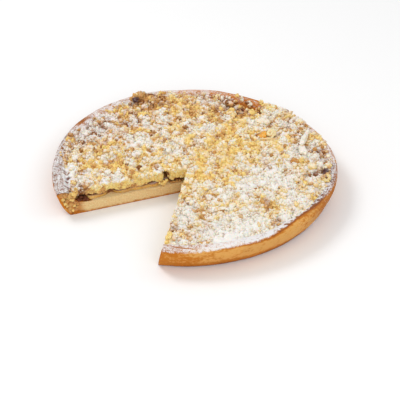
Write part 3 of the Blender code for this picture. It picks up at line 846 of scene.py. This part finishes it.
def case_bake(spot):
    """How brown the skin is: darker at the foot, the top edge and the back, redder at the right."""
    turn, radius, z = spot.turn, spot.radius, spot.z
    front = plateau(turn, 262, 272, 344, 352)
    brown = 0.36 + 0.10 * bell((turn - 170) % 360, 180, 40)
    if radius > 0.124:
        foot = (0.26 + 0.34 * smoothstep(300, 325, turn)) * front * smoothstep(0.0120, 0.0, z)
        brown += 0.50 * smoothstep(0.0035, 0.0, z) + foot
    else:
        brown += 0.25
    top_edge = smoothstep(0.0225, 0.0262, z) * smoothstep(0.134, 0.138, radius)
    away = smoothstep(8, 40, min(turn, 370 - turn)) * (1 - 0.8 * smoothstep(325, 345, turn))
    brown += 0.16 * top_edge * (1 - 0.8 * front) * away
    within = 0.20 * smoothstep(0.1368, 0.1340, radius) + 0.12 * smoothstep(0.1320, 0.1280, radius)
    brown += within * smoothstep(0.014, 0.018, z)
    # The upper outer side is made lighter by angle: partly a lighter bake, partly painted light and painted
    # shade
    wall = smoothstep(0.0045, 0.0110, z) * smoothstep(0.128, 0.131, radius)
    brown -= 0.38 * lookup(WALL_BAKE_AND_LIGHT, turn) * wall
    rust = bell(spot.past, 0.0012, 0.0013) * smoothstep(278, 296, turn)
    brown += 0.75 * rust * smoothstep(0.020, 0.024, z) * smoothstep(0.126, 0.130, radius)
    brown += 0.10 * bell(turn, 62, 26) * smoothstep(0.020, 0.026, z)
    return brown + 0.30 * bell(turn, 146.5, 5) * smoothstep(0.024, 0.027, z)


def case_sugar(spot, normal):
    """How thick the icing sugar lies on the case."""
    turn, radius, past = spot.turn, spot.radius, spot.past
    inside = radius < INNER_CREST
    if spot.at_cut or spot.z < 0.012 or normal.z < -0.2 or (inside and spot.z < 0.0225):
        return NO_SUGAR
    right = max(smoothstep(331, 340, turn), smoothstep(50, 25, turn))
    fade = 0.0028 - 0.0012 * smoothstep(292, 304, turn) + 0.0062 * right
    if past > fade:
        return NO_SUGAR + 0.78 * plateau(turn, 298, 316, 350, 360)
    on_rim = -0.1 + (lookup(RIM_SUGAR, turn) + 0.1) * smoothstep(fade, -0.0012, past)
    specks = smoothstep(0.16, 0.34, noise.noise(spot.place * 380)) * bell(past, -0.0016, 0.0022)
    on_rim -= 1.1 * specks * plateau(turn, 296, 308, 344, 352)
    if inside:
        on_rim -= 0.30 * smoothstep(INNER_CREST, 0.1255, radius)
    on_rim -= 0.18 * bell(turn, 62, 12) * smoothstep(0.1345, 0.1315, radius)
    on_rim -= 0.62 * bell(turn, 146.5, 3.6) * smoothstep(0.1325, 0.1350, radius)
    groove = 0.1330 + (turn - 262) * 0.0004
    return on_rim - 0.55 * bell(radius, groove, 0.0006) * plateau(turn, 261, 263, 269, 272)


class PIE_OT_pastry_case(bpy.types.Operator):
    """Bakes the pastry case: golden wall, sugared rim and porous cut faces"""

    bl_idname = "pie.pastry_case"
    bl_label = "Pastry case"

    def execute(self, context):
        bm = build_case(context.scene.pie_sizes)
        add_piece("pastry_case", bm, pastry_finish(), ["crust"])
        return {"FINISHED"}


# The apple filling

class PIE_OT_filling(bpy.types.Operator):
    """Lays the apple filling, with chunks and hollows at the cut faces"""

    bl_idname = "pie.filling"
    bl_label = "Apple filling"

    def execute(self, context):
        edge = (0.1210, 0.0156)
        top = [(0.1140, FILLING_TOP), (0.1170, FILLING_TOP), (FILLING_EDGE, FILLING_TOP), edge]
        bottom = [(0.1140, FILLING_LOW + 0.0004), (0.1160, 0.0134), (0.1185, 0.0140), edge]
        bm = swept_body(top, bottom, FILLING_FLOOR_CELLS, FILLING_STEPS, FILLING_ROWS)
        juice_and_shade = float_layer(bm, "juice_and_shade")
        for vert in bm.verts:
            x, y, z = vert.co
            depth, face = cut_depth(x, y)
            if depth > CUT_DEPTH:
                continue
            distance = from_cut_point(x, y)
            back = 0.0010 + (0.0010 if distance > 0.115 else 0.0)
            for middle, spread, deep in FILLING_HOLLOWS:
                back += deep * bell(distance, middle, spread) * (0.5 if face else 1.0)
            chunks = min(0.8, cell_distance(x * 105, y * 105, z * 160))
            back += 0.0030 * chunks - 0.0010 + 0.0003 * noise.noise(vert.co * 500)
            back *= 1 - max(0.0, depth) / CUT_DEPTH
            inward = inward_of(face)
            vert.co.x += inward[0] * back
            vert.co.y += inward[1] * back
            # Painted shade: the dark colour darkens the face where it is set back deepest, and the top of the
            # far face under the crumble
            vert[juice_and_shade] = 0.9 * smoothstep(0.0034, 0.0060, back) if z > FILLING_LOW + 0.0006 else 0.0
            if face == 0:
                vert[juice_and_shade] = max(vert[juice_and_shade], 0.85 * smoothstep(FILLING_TOP - 0.0012, FILLING_TOP, z))
        material = apple_finish("stewed_apple", context.scene.pie_colours.apple, 0.45, with_painted_shade=True)
        add_piece("apple_layer", bm, material, ["apple_filling"])
        return {"FINISHED"}


# The crumble

def ragged(distance, z, face):
    """How far the crumble's face stands back from the knife at a distance from the cut point and a height."""
    pattern = 30 * face
    wide = flat_noise(120, distance, z, 4.0 + pattern)
    close = flat_noise(420, distance, z, 9.0 + pattern)
    under = 0.0018 * smoothstep(0.0205, 0.0175, z) * (0.4 + noise.noise(Vector((distance * 90, 4.0, face))))
    back = 0.0012 + 0.0012 * wide + 0.0008 * close + max(0.0, under)
    if face == 0:
        for middle, level, half, tall, deep in FACE_GAPS:
            back += deep * bell(distance, middle, half) * bell(z, level, tall)
        if distance < 0.017:
            back *= 0.35
    return max(0.0, back)


def face_level(z):
    """From about minus one at the foot of the crumble's cut face to more than one at its top."""
    return (z - 0.0215) / 0.0045


def crumb_relief(x, y):
    """Fine domes of packed crumbs over the core."""
    large = cell_distance(x * 290, y * 290, 1.0)
    small = cell_distance(x * 520, y * 520, 8.0)
    dome, grain = (math.sqrt(max(0.0, 1 - (away / 0.62) ** 2)) for away in (large, small))
    return 0.0012 * dome + 0.0006 * grain - 0.0013


def build_bed(cell):
    """The crumble's core as a level sheet with its edge turned down in steps."""
    side = 2 * (BED_RADIUS + 0.0030)
    cells = round(side / cell)
    bm = bmesh.new()
    bmesh.ops.create_grid(bm, x_segments=cells, y_segments=cells, size=side / 2)
    for face in (0, 1):
        geom = list(bm.verts) + list(bm.edges) + list(bm.faces)
        level = (*inward_of(face), 0)
        bmesh.ops.bisect_plane(bm, geom=geom, dist=0.00005, plane_co=(*CUT_POINT, 0), plane_no=level)
    outside = []
    for face in bm.faces:
        middle = face.calc_center_median()
        if polar(middle.x, middle.y)[1] > BED_RADIUS + 0.0003 or cut_depth(middle.x, middle.y)[0] < 0:
            outside.append(face)
    bmesh.ops.delete(bm, geom=outside, context="FACES")
    rim = [edge for edge in bm.edges if edge.is_boundary]
    for _ in range(BED_LEVELS):
        made = bmesh.ops.extrude_edge_only(bm, edges=rim)["geom"]
        lower = [item for item in made if isinstance(item, bmesh.types.BMVert)]
        bmesh.ops.translate(bm, vec=(0, 0, -1 / BED_LEVELS), verts=lower)
        rim = [item for item in made if isinstance(item, bmesh.types.BMEdge) and item.is_boundary]
    bmesh.ops.holes_fill(bm, edges=rim, sides=0)
    bmesh.ops.recalc_face_normals(bm, faces=bm.faces)
    return bm


def shape_bed(bm):
    """Gives the sheet its height and relief, and its turned-down edge the line of the case and of the cut."""
    brown, sugar = float_layer(bm, "brown"), float_layer(bm, "sugar")
    for vert in bm.verts:
        x, y, level = vert.co.x, vert.co.y, -vert.co.z
        angle, radius = polar(x, y)
        widest = BED_RADIUS + (HOLLOW_RADIUS - BED_RADIUS) * min(1.0, 1.3 * hollow_share(angle))
        if radius > BED_FITTED_FROM:
            share = (min(radius, BED_RADIUS) - BED_FITTED_FROM) / (BED_RADIUS - BED_FITTED_FROM)
            fitted = BED_FITTED_FROM + share * (widest - BED_FITTED_FROM)
            x, y = x * fitted / radius, y * fitted / radius
            radius = fitted
        crumbs = smoothstep(0.0028, -0.0018, radius - crumble_reach(angle))
        turn = turn_of(angle)
        left_rim = plateau(turn, 150, 165, 215, 240)
        smooth_sugar = lookup(RIM_SUGAR, turn) + 0.06 + 0.30 * plateau(turn, 262, 272, 296, 310)
        smooth_sugar += (0.40 + 0.50 * left_rim) * flat_noise(260, x, y, 2.0) + 0.06 * left_rim
        vert[brown] = brown_at(x, y) + 0.02 + 1.05 * left_rim * (1 - crumbs)
        vert[sugar] = smooth_sugar + (sugar_at(x, y) - 0.02 - smooth_sugar) * crumbs
        depth, face = cut_depth(x, y)
        distance = from_cut_point(x, y)
        foot = lookup(CRUMBLE_FOOT, distance) if face == 0 and depth < 0.006 else CRUMBLE_LOW
        is_top = level < 0.01
        top = bed_top(x, y)
        if is_top:
            top += crumb_relief(x, y) * (0.10 + 0.90 * crumbs)
        height = foot + (top - foot) * (1 - level)
        if not is_top:
            # Sugar thickens towards the top of the cut face, as dusted; the brown that grows towards its foot
            # is painted shade under the top
            high = face_level(height)
            spot = Vector((distance * 170, height * 170, 40.0 + face))
            vert[brown] += 0.45 * noise.noise(spot) - 0.14 * high
            vert[sugar] = 0.10 + 0.26 * high + 0.55 * noise.noise(spot * 1.3 + Vector((0, 0, 9)))
        if depth < CUT_DEPTH:
            shift = ragged(distance, height, face) * (1 - max(0.0, depth) / CUT_DEPTH) ** 1.5
            # Painted shade: where the face stands back deepest it is browned into the dark colour and bared
            # of sugar
            vert[brown] += 0.9 * smoothstep(0.0022, 0.0048, shift)
            vert[sugar] -= 0.6 * smoothstep(0.0022, 0.0048, shift)
            x += inward_of(face)[0] * shift
            y += inward_of(face)[1] * shift
        limit = inner_radius(height) + 0.0004
        if not is_top and radius > limit:
            x, y = x * limit / radius, y * limit / radius
        vert.co = (x, y, height)


def sugar_at(x, y):
    """How thick the icing sugar lies on the crumble, 0 to about 1."""
    patches = 0.46 * flat_noise(75, x, y, 9.0) + 0.44 * flat_noise(160, x, y, 3.0)
    patches += 0.10 * flat_noise(330, x, y, 15.0) + 0.30 * (clump_dome(x, y) - 0.35)
    patches *= 1.0 + 0.30 * smoothstep(-0.020, -0.060, x)
    return 0.56 + zone_sum(SUGAR_ZONES, x, y) + patches + 0.06 * smoothstep(0.100, 0.122, polar(x, y)[1])


def brown_at(x, y):
    """How browned the crumble is, 0 to about 1."""
    patches = 0.34 * flat_noise(90, x, y, 21.0) + 0.58 * flat_noise(180, x, y, 27.0)
    brown = 0.09 + 0.07 * smoothstep(-0.020, -0.060, x) + patches - 0.16 * (clump_dome(x, y) - 0.35)
    return min(0.95, brown + zone_sum(BROWN_ZONES, x, y))


class PIE_OT_crumble_bed(bpy.types.Operator):
    """Packs the crumble's core, ragged where the knife went through"""

    bl_idname = "pie.crumble_bed"
    bl_label = "Crumble core"

    def execute(self, context):
        bm = build_bed(context.scene.pie_sizes.bed_cell)
        shape_bed(bm)
        add_piece("crumble_bed", bm, crumb_finish("packed_crumb", 0.02), ["crumble"])
        return {"FINISHED"}


def crumb_shapes(count, build, rough, knobs, seed):
    """A few crumbs of radius one, each pulled out of shape and knobbly in its own way."""
    shapes = []
    for i in range(count):
        bm = bmesh.new()
        build(bm)
        offset = Vector((seed * 7.3 + i * 3.1, i * 5.7, seed * 2.9))
        for vert in bm.verts:
            direction = vert.co.normalized()
            swelling = rough * noise.noise(direction * 1.3 + offset)
            knob = knobs * (0.35 - min(1.0, cell_distance(*direction * 1.7 + offset)))
            vert.co = direction * (1 + swelling + knob)
        bmesh.ops.triangulate(bm, faces=bm.faces)
        bm.verts.index_update()
        points = np.array([vert.co for vert in bm.verts])
        faces = np.array([[vert.index for vert in face.verts] for face in bm.faces])
        bm.free()
        shapes.append((points, faces))
    return shapes


def ball(detail):
    def build(bm):
        bmesh.ops.create_icosphere(bm, subdivisions=detail, radius=1.0)
    return build


def block(bm):
    bmesh.ops.create_cube(bm, size=1.0)
    bmesh.ops.subdivide_edges(bm, edges=list(bm.edges), cuts=1, use_grid_fill=True)


def joined(name, shapes, crumbs, draw, material, colouring):
    """One mesh of many crumbs, each (place, size), with its own turn and stretch.

    colouring gives each crumb's brown and sugar, and how much the sugar keeps to its top.
    """
    points, faces, browns, sugars = [], [], [], []
    start = 0
    for place, size in crumbs:
        shape, triangles = shapes[draw.integers(len(shapes))]
        turn = Euler(draw.uniform(0, 2 * math.pi, 3)).to_matrix()
        stretch = draw.uniform(0.76, 1.24, 3)
        body = (shape * stretch) @ np.array(turn).T
        points.append(body * size + place)
        faces.append(triangles + start)
        start += len(shape)
        brown, sugar, cling = colouring(place)
        up = body[:, 2] / np.linalg.norm(body, axis=1)
        browns.append(np.full(len(shape), brown))
        sugars.append(sugar - cling * (1 - up))
    points, faces = np.concatenate(points), np.concatenate(faces)
    mesh = bpy.data.meshes.new(name)
    mesh.from_pydata(points.tolist(), [], faces.tolist())
    for label, values in (("brown", browns), ("sugar", sugars)):
        layer = mesh.attributes.new(label, "FLOAT", "POINT")
        layer.data.foreach_set("value", np.concatenate(values).astype(np.float32))
    finish_piece(name, mesh, material)


def spread(count, draw, jitter, keep):
    """Even places over the pie by the golden angle, each a little off, as (x, y)."""
    places = []
    for i in range(count):
        angle = i * GOLDEN_ANGLE
        off_x, off_y = draw.normal(0, jitter, 2)
        distance = math.sqrt((i + 0.5) / count) * CRUMB_REACH * outline_factor(angle)
        x, y = distance * math.cos(angle) + off_x, distance * math.sin(angle) + off_y
        if keep(x, y):
            places.append((x, y))
    return places


def bare_spots():
    """Places that crumbs must not cover: the raisins and the apple pieces, as (x, y, radius)."""
    spots = list(CURL_SPOTS)
    for node, (shift, half, _) in RAISINS.items():
        middle = box_middle(node) + Vector(shift)
        spots.append((middle.x, middle.y, 0.45 * half[0]))
    for node, share in (("apple_piece_middle", 0.55), ("apple_piece_right", 0.35)):
        low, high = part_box(node)
        middle = box_middle(node)
        spots.append((middle.x, middle.y, share * (high.x - low.x + high.y - low.y) / 4))
    return spots


def ground(x, y):
    """The height of whatever lies under a crumb: the core, or the rim where the crumbs lie over it."""
    angle, radius = polar(x, y)
    rim = rim_height(radius) + rim_wave(angle) + heap_rise(x, y)
    if radius < 0.1180:
        return bed_top(x, y)
    return max(rim, bed_top(x, y)) if radius < BED_RADIUS - 0.001 else rim


class PIE_OT_crumbs(bpy.types.Operator):
    """Scatters the crumbs, from clumps down to grains"""

    bl_idname = "pie.crumbs"
    bl_label = "Crumbs"

    def execute(self, context):
        sizes = context.scene.pie_sizes
        material = crumb_finish()
        draw = np.random.default_rng(TOP_SEED)
        spots = bare_spots()
        hosts = []

        def look(place, odd):
            brown = brown_at(place[0], place[1]) + draw.normal(0, 0.04 + 0.05 * odd)
            sugar = sugar_at(place[0], place[1]) + draw.normal(0, 0.04 + 0.06 * odd)
            kind = draw.random()
            bare = 1 - 0.65 * smoothstep(0.75, 1.05, sugar)
            if kind < 0.05 + 0.11 * odd:
                return min(1.0, brown + 0.32 * bare), sugar - 0.30 * bare, 0.25
            if kind < 0.06 + 0.14 * odd:
                return min(1.0, brown + 0.52 * bare), sugar - 0.34 * bare, 0.25
            return min(1.0, brown), sugar, 0.26

        def free(x, y, size):
            return all(math.hypot(x - sx, y - sy) > clear + 0.6 * size for sx, sy, clear in spots)

        clumps = (12, ball(3), 0.55, 0.42, 6)
        medium = (14, ball(2), 0.60, 0.35, 3)
        small = (16, block, 0.70, 0.30, 9)
        grains = (12, ball(1), 0.60, 0.20, 2)
        # Name, number, shapes, least and greatest radius, how far off their even places, how high they lie in
        # their own radii, the share that sits on larger ones, and how mixed their browning and sugar are
        for name, count, form, least, greatest, jitter, lift, hosted, odd in (
            ("clumps", sizes.clumps, clumps, 0.0026, 0.0038, 0.0024, -0.60, 0.0, 0.4),
            ("crumbs_medium", sizes.medium_crumbs, medium, 0.0015, 0.0027, 0.0020, -0.15, 0.0, 1.0),
            ("crumbs_small", sizes.small_crumbs, small, 0.0008, 0.0015, 0.0015, 0.05, 0.30, 0.2),
            ("grains", sizes.grains, grains, 0.0004, 0.0008, 0.0020, 0.60, 0.45, 0.1),
        ):
            shapes = crumb_shapes(*form)

            def keep(x, y):
                angle, radius = polar(x, y)
                inside = radius < crumble_reach(angle) - least and cut_depth(x, y)[0] > 0.8 * least
                thick = smoothstep(0.85, 1.15, sugar_at(x, y))
                return inside and draw.random() > 0.45 * thick

            def some_size(power=1.7):
                return least + (greatest - least) * draw.random() ** power

            crumbs = []
            for x, y in spread(round(count * (1 - hosted)), draw, jitter, keep):
                size = some_size()
                if free(x, y, size):
                    crumbs.append(((x, y, ground(x, y) + (lift + draw.uniform(-0.2, 0.3)) * size), size))
            for _ in range(round(count * hosted)):
                (hx, hy, hz), host = hosts[draw.integers(len(hosts))]
                size = min(some_size(), host * 0.7)
                turn, rise = draw.uniform(0, 2 * math.pi), draw.uniform(0.1, 1.35)
                off = host * 0.92
                x, y = hx + off * math.cos(turn) * math.cos(rise), hy + off * math.sin(turn) * math.cos(rise)
                if cut_depth(x, y)[0] > size and free(x, y, size):
                    crumbs.append(((x, y, hz + off * math.sin(rise)), size))
            if name == "crumbs_medium":
                for hx, hy, width, _, number in HEAPS:
                    for _ in range(number):
                        x, y = draw.normal((hx, hy), 0.55 * width)
                        size = some_size(1.3)
                        if free(x, y, size) and polar(x, y)[1] < PILE_REACH:
                            crumbs.append(((x, y, ground(x, y) + draw.uniform(-0.4, 0.5) * size), size))
            hosts += crumbs if lift < 0 else []
            most = MOST_TRIANGLES // len(shapes[0][1])
            for part in range(0, len(crumbs), most):
                label = name if len(crumbs) <= most else f"{name}_{part // most + 1}"
                some = crumbs[part:part + most]
                joined(label, shapes, some, draw, material, lambda place: look(place, odd))
        return {"FINISHED"}


class PIE_OT_slabs(bpy.types.Operator):
    """Lays the few longer lumps: sugared sticks, a flat tan one, and the round ones by the hollow"""

    bl_idname = "pie.slabs"
    bl_label = "Longer lumps"

    def execute(self, context):
        bm = bmesh.new()
        brown, sugar = float_layer(bm, "brown"), float_layer(bm, "sugar")
        for i, (x, y, lift, length, width, thickness, heading, browned, powder) in enumerate(SLABS):
            made = bmesh.ops.create_icosphere(bm, subdivisions=4, radius=0.5)["verts"]
            for vert in made:
                direction = vert.co.normalized()
                swelling = 0.36 * noise.noise(direction * 1.8 + Vector((i, 0, 0)))
                vert.co *= 1 + swelling + 0.22 * noise.noise(direction * 4.6 + Vector((0, i, 0)))
                vert[brown] = browned
                vert[sugar] = powder - 0.35 * (1 - direction.z)
            bmesh.ops.scale(bm, vec=(length, width, thickness), verts=made)
            set_down(bm, made, (0.0, 0.06, math.radians(heading)), (x, y, ground(x, y) + lift))
        add_piece("longer_lumps", bm, crumb_finish("lump_crumb"))
        return {"FINISHED"}


class PIE_OT_cut_crumbs(bpy.types.Operator):
    """Breaks crumbs out of the crumble's two cut faces"""

    bl_idname = "pie.cut_crumbs"
    bl_label = "Crumbs at the cut"

    def execute(self, context):
        draw = np.random.default_rng(CUT_SEED)
        crumbs = []
        for face in (0, 1):
            for _ in range(CUT_CRUMBS):
                distance = draw.uniform(0.001, 0.1215)
                radius = 0.0006 + 0.0012 * draw.random() ** 1.6
                foot = CRUMBLE_LOW if face else lookup(CRUMBLE_FOOT, distance)
                z = draw.uniform(foot + 0.5 * radius, bed_top(*behind_cut(face, distance, 0.0)) - 0.0004)
                back = ragged(distance, z, face)
                if back > 0.0042:
                    continue
                back += draw.uniform(0.1, 0.7) * radius
                crumbs.append(((*behind_cut(face, distance, back), z), radius))
        hanging = [(distance, z, 0.0010 - out, radius) for distance, z, out, radius in FACE_LUMPS]
        for distance, z, back, radius in hanging + PAINTED_SHADE_LUMPS:
            crumbs.append(((*behind_cut(0, distance, back), z), radius))

        def look(place):
            x, y, z = place
            # The lumps in the filling's hollows take the darkest colours: painted shade for the voids there
            if z < 0.0152 and cut_depth(x, y)[0] > 0.0015:
                return (1.30 if z > 0.0132 else 0.62), -0.50, 0.0
            if polar(x, y)[1] > 0.1185:
                return 0.30 + draw.normal(0, 0.16), -0.05, 0.0
            # Sugar thickens towards the top of the cut face, as dusted; the brown that grows towards its foot
            # is painted shade under the top
            high = face_level(z)
            spot = Vector(place) * 170
            brown = brown_at(x, y) - 0.07 - 0.16 * high + 0.45 * noise.noise(spot) + draw.normal(0, 0.10)
            powder = 0.24 + 0.26 * high + 0.50 * noise.noise(spot * 1.3 + Vector((0, 0, 9)))
            return brown, powder + draw.normal(0, 0.10), 0.20

        shapes = crumb_shapes(10, block, 0.65, 0.30, 5)
        joined("cut_crumbs", shapes, crumbs, draw, crumb_finish("cut_crumb"), look)
        return {"FINISHED"}


# Raisins and apple pieces

class PIE_OT_raisins(bpy.types.Operator):
    """Wrinkles the two raisins"""

    bl_idname = "pie.raisins"
    bl_label = "Raisins"

    def execute(self, context):
        finish = Finish("raisin_skin")
        folds = finish.noise(420, 4)
        browned = finish.span(folds, 0.45, 0.7, 0.0, 0.35)
        dust = finish.span(finish.noise(330, 2), 0.46, 0.66, 0.0, 0.20)
        skin = finish.mix(browned, finish.tint("raisin"), finish.tint("toasted"))
        skin = finish.mix(dust, skin, finish.tint("sugar"))
        finish.bump(folds, 0.6, 0.0006)
        material = finish.surface(Base_Color=skin, Roughness=0.5, Specular_IOR_Level=0.25)
        for node, (shift, half, heading) in RAISINS.items():
            bm = bmesh.new()
            bmesh.ops.create_icosphere(bm, subdivisions=5, radius=1.0)
            for vert in bm.verts:
                ridge = abs(noise.noise(vert.co * 2.3 + Vector((heading * 9, 0, 0))))
                crease = abs(noise.noise(vert.co * 4.7 + Vector((heading * 3, 4, 0))))
                lopsided = 0.30 * noise.noise(vert.co * 0.9 + Vector((heading * 5, 0, 0)))
                vert.co *= 0.78 + 0.80 * ridge + 0.36 * crease + lopsided
            bmesh.ops.scale(bm, vec=half, verts=bm.verts)
            set_down(bm, bm.verts, (0.2, -0.2, heading), box_middle(node) + Vector(shift))
            add_piece(node + "_skin", bm, material, [node])
        return {"FINISHED"}


class PIE_OT_apple_pieces(bpy.types.Operator):
    """Glazes the two pieces of apple in the crumble, and curls a slice beside them"""

    bl_idname = "pie.apple_pieces"
    bl_label = "Apple pieces"

    def execute(self, context):
        colours = context.scene.pie_colours
        glazed = apple_finish("glazed_apple", colours.amber, 0.20)
        browned = apple_finish("browned_apple", weighted(colours.amber, 0.5, colours.russet, 0.5), 0.5)
        for node, size, turn, material in (
            ("apple_piece_middle", (0.0120, 0.0082, 0.0070), (0.24, 0.14, 0.49), glazed),
            ("apple_piece_right", (0.0080, 0.0066, 0.0058), (-0.21, 0.28, -0.35), browned),
        ):
            bm = bmesh.new()
            burnt = float_layer(bm, "burnt")
            bmesh.ops.create_cube(bm, size=1.0)
            bmesh.ops.scale(bm, vec=size, verts=bm.verts)
            bmesh.ops.bevel(
                bm, geom=list(bm.edges), offset=min(size) * 0.42, segments=4, profile=0.5, affect="EDGES",
                material=-1,
            )
            bmesh.ops.subdivide_edges(bm, edges=list(bm.edges), cuts=2, use_grid_fill=True)
            for vert in bm.verts:
                vert.co *= 1 + 0.46 * noise.noise(vert.co * 190 + Vector((len(node), 0, 0)))
                vert.co *= 1 + 0.20 * noise.noise(vert.co * 460)
                vert[burnt] = 0.34 + 110 * (vert.co.y - 0.6 * vert.co.x) + 0.3 * noise.noise(vert.co * 400)
            set_down(bm, bm.verts, turn, box_middle(node))
            add_piece(node + "_glazed", bm, material, [node])
        pale = apple_finish("pale_apple", weighted(colours.butter, 0.62, colours.sugar, 0.33), 0.0)
        add_piece("apple_curl", self.curl(), pale)
        return {"FINISHED"}

    def curl(self):
        """A slice of apple curled up: a small ring, and a strip that winds off round it."""
        bm = bmesh.new()
        around = 10
        ring = [(turn, 2.1) for turn in range(0, 361, 20)]
        for path, tube in ((ring, 0.0018), (CURL_STRIP, 0.0016)):
            rows = []
            for i, (turn, distance) in enumerate(path):
                share = i / (len(path) - 1)
                thick = tube if path is ring else tube * math.sin(math.pi * (0.10 + 0.80 * share)) ** 0.6
                way = Vector((math.cos(math.radians(turn)), math.sin(math.radians(turn)), 0.0))
                middle = (Vector(CURL_CENTRE) + way * distance) / 1000
                rise = 0.0024 + 0.0008 * (1 - distance / 15.5) + 0.0004 * noise.noise(middle * 300)
                height = ground(middle.x, middle.y) + rise
                row = []
                for j in range(around):
                    lean = 2 * math.pi * j / around
                    spot = middle + way * thick * math.cos(lean)
                    row.append(bm.verts.new((spot.x, spot.y, height + 0.9 * thick * math.sin(lean))))
                rows.append(row)
            for a, b in zip(rows, rows[1:]):
                for j in range(around):
                    bm.faces.new((a[j], a[(j + 1) % around], b[(j + 1) % around], b[j]))
            if path is not ring:
                bm.faces.new(rows[0])
                bm.faces.new(rows[-1][::-1])
        bmesh.ops.remove_doubles(bm, verts=bm.verts, dist=MERGE_DISTANCE)
        bmesh.ops.subdivide_edges(bm, edges=list(bm.edges), cuts=1, use_grid_fill=True, smooth=0.5)
        bmesh.ops.recalc_face_normals(bm, faces=bm.faces)
        return bm


# The stage

class PIE_OT_stage(bpy.types.Operator):
    """Sets out the pale floor, soft lights and the camera"""

    bl_idname = "pie.stage"
    bl_label = "Stage"

    def execute(self, context):
        scene = context.scene
        bm = bmesh.new()
        bmesh.ops.create_grid(bm, x_segments=1, y_segments=1, size=6.0)
        mesh = bpy.data.meshes.new("floor")
        bm.to_mesh(mesh)
        bm.free()
        finish = Finish("pale_floor")
        shade = finish.mix(finish.noise(3.0, roughness=0.55), (0.90, 0.90, 0.90, 1), (0.92, 0.92, 0.92, 1))
        mesh.materials.append(finish.surface(Base_Color=shade, Roughness=0.9))
        floor = bpy.data.objects.new("floor", mesh)
        scene.collection.objects.link(floor)

        world = bpy.data.worlds.new("soft_room")
        world.use_nodes = True
        background = world.node_tree.nodes["Background"].inputs
        background["Color"].default_value = (1.0, 1.0, 1.0, 1.0)
        background["Strength"].default_value = 0.655
        scene.world = world
        for name, place, power, size in (
            ("key_light", (-0.75, 0.35, 1.15), 7.1, 0.55),
            ("front_light", (0.25, -1.1, 0.75), 5.4, 0.8),
            ("side_light", (1.0, 0.2, 0.8), 1.8, 0.8),
        ):
            light = bpy.data.lights.new(name, "AREA")
            light.energy = power
            light.size = size
            lamp = bpy.data.objects.new(name, light)
            lamp.location = place
            lamp.rotation_euler = (-Vector(place)).to_track_quat("-Z", "Y").to_euler()
            scene.collection.objects.link(lamp)

        camera = bpy.data.cameras.new("camera")
        camera.lens = scene.pie_sizes.focal_length
        camera.sensor_width = 36.0
        camera.clip_end = 50.0
        viewer = bpy.data.objects.new("camera", camera)
        viewer.location = Vector(CAMERA_PLACE) + SHIFT
        viewer.rotation_euler = (math.radians(90 - CAMERA_DIP), 0.0, 0.0)
        scene.collection.objects.link(viewer)
        scene.camera = viewer
        scene.view_settings.view_transform = "Standard"
        return {"FINISHED"}


class PIE_PT_panel(bpy.types.Panel):
    """Lists the pie's pieces, sizes and colours"""

    bl_idname = "PIE_PT_panel"
    bl_label = "Apple crumble pie"
    bl_space_type = "VIEW_3D"
    bl_region_type = "UI"
    bl_category = "Pie"

    def draw(self, context):
        for group in (context.scene.pie_sizes, context.scene.pie_colours):
            for name in group.__annotations__:
                self.layout.prop(group, name)
        for operator in OPERATORS:
            self.layout.operator(operator.bl_idname)


OPERATORS = (
    PIE_OT_pastry_case,
    PIE_OT_filling,
    PIE_OT_crumble_bed,
    PIE_OT_crumbs,
    PIE_OT_slabs,
    PIE_OT_cut_crumbs,
    PIE_OT_raisins,
    PIE_OT_apple_pieces,
    PIE_OT_stage,
)
CLASSES = (PieSizes, PieColours, *OPERATORS, PIE_PT_panel)


def register():
    for kind in CLASSES:
        bpy.utils.register_class(kind)
    bpy.types.Scene.pie_sizes = PointerProperty(type=PieSizes)
    bpy.types.Scene.pie_colours = PointerProperty(type=PieColours)


def unregister():
    del bpy.types.Scene.pie_colours
    del bpy.types.Scene.pie_sizes
    for kind in reversed(CLASSES):
        bpy.utils.unregister_class(kind)


def main():
    register()
    bpy.ops.pie.pastry_case()
    bpy.ops.pie.filling()
    bpy.ops.pie.crumble_bed()
    bpy.ops.pie.crumbs()
    bpy.ops.pie.slabs()
    bpy.ops.pie.cut_crumbs()
    bpy.ops.pie.raisins()
    bpy.ops.pie.apple_pieces()
    bpy.ops.pie.stage()


if __name__ == "__main__":
    main()
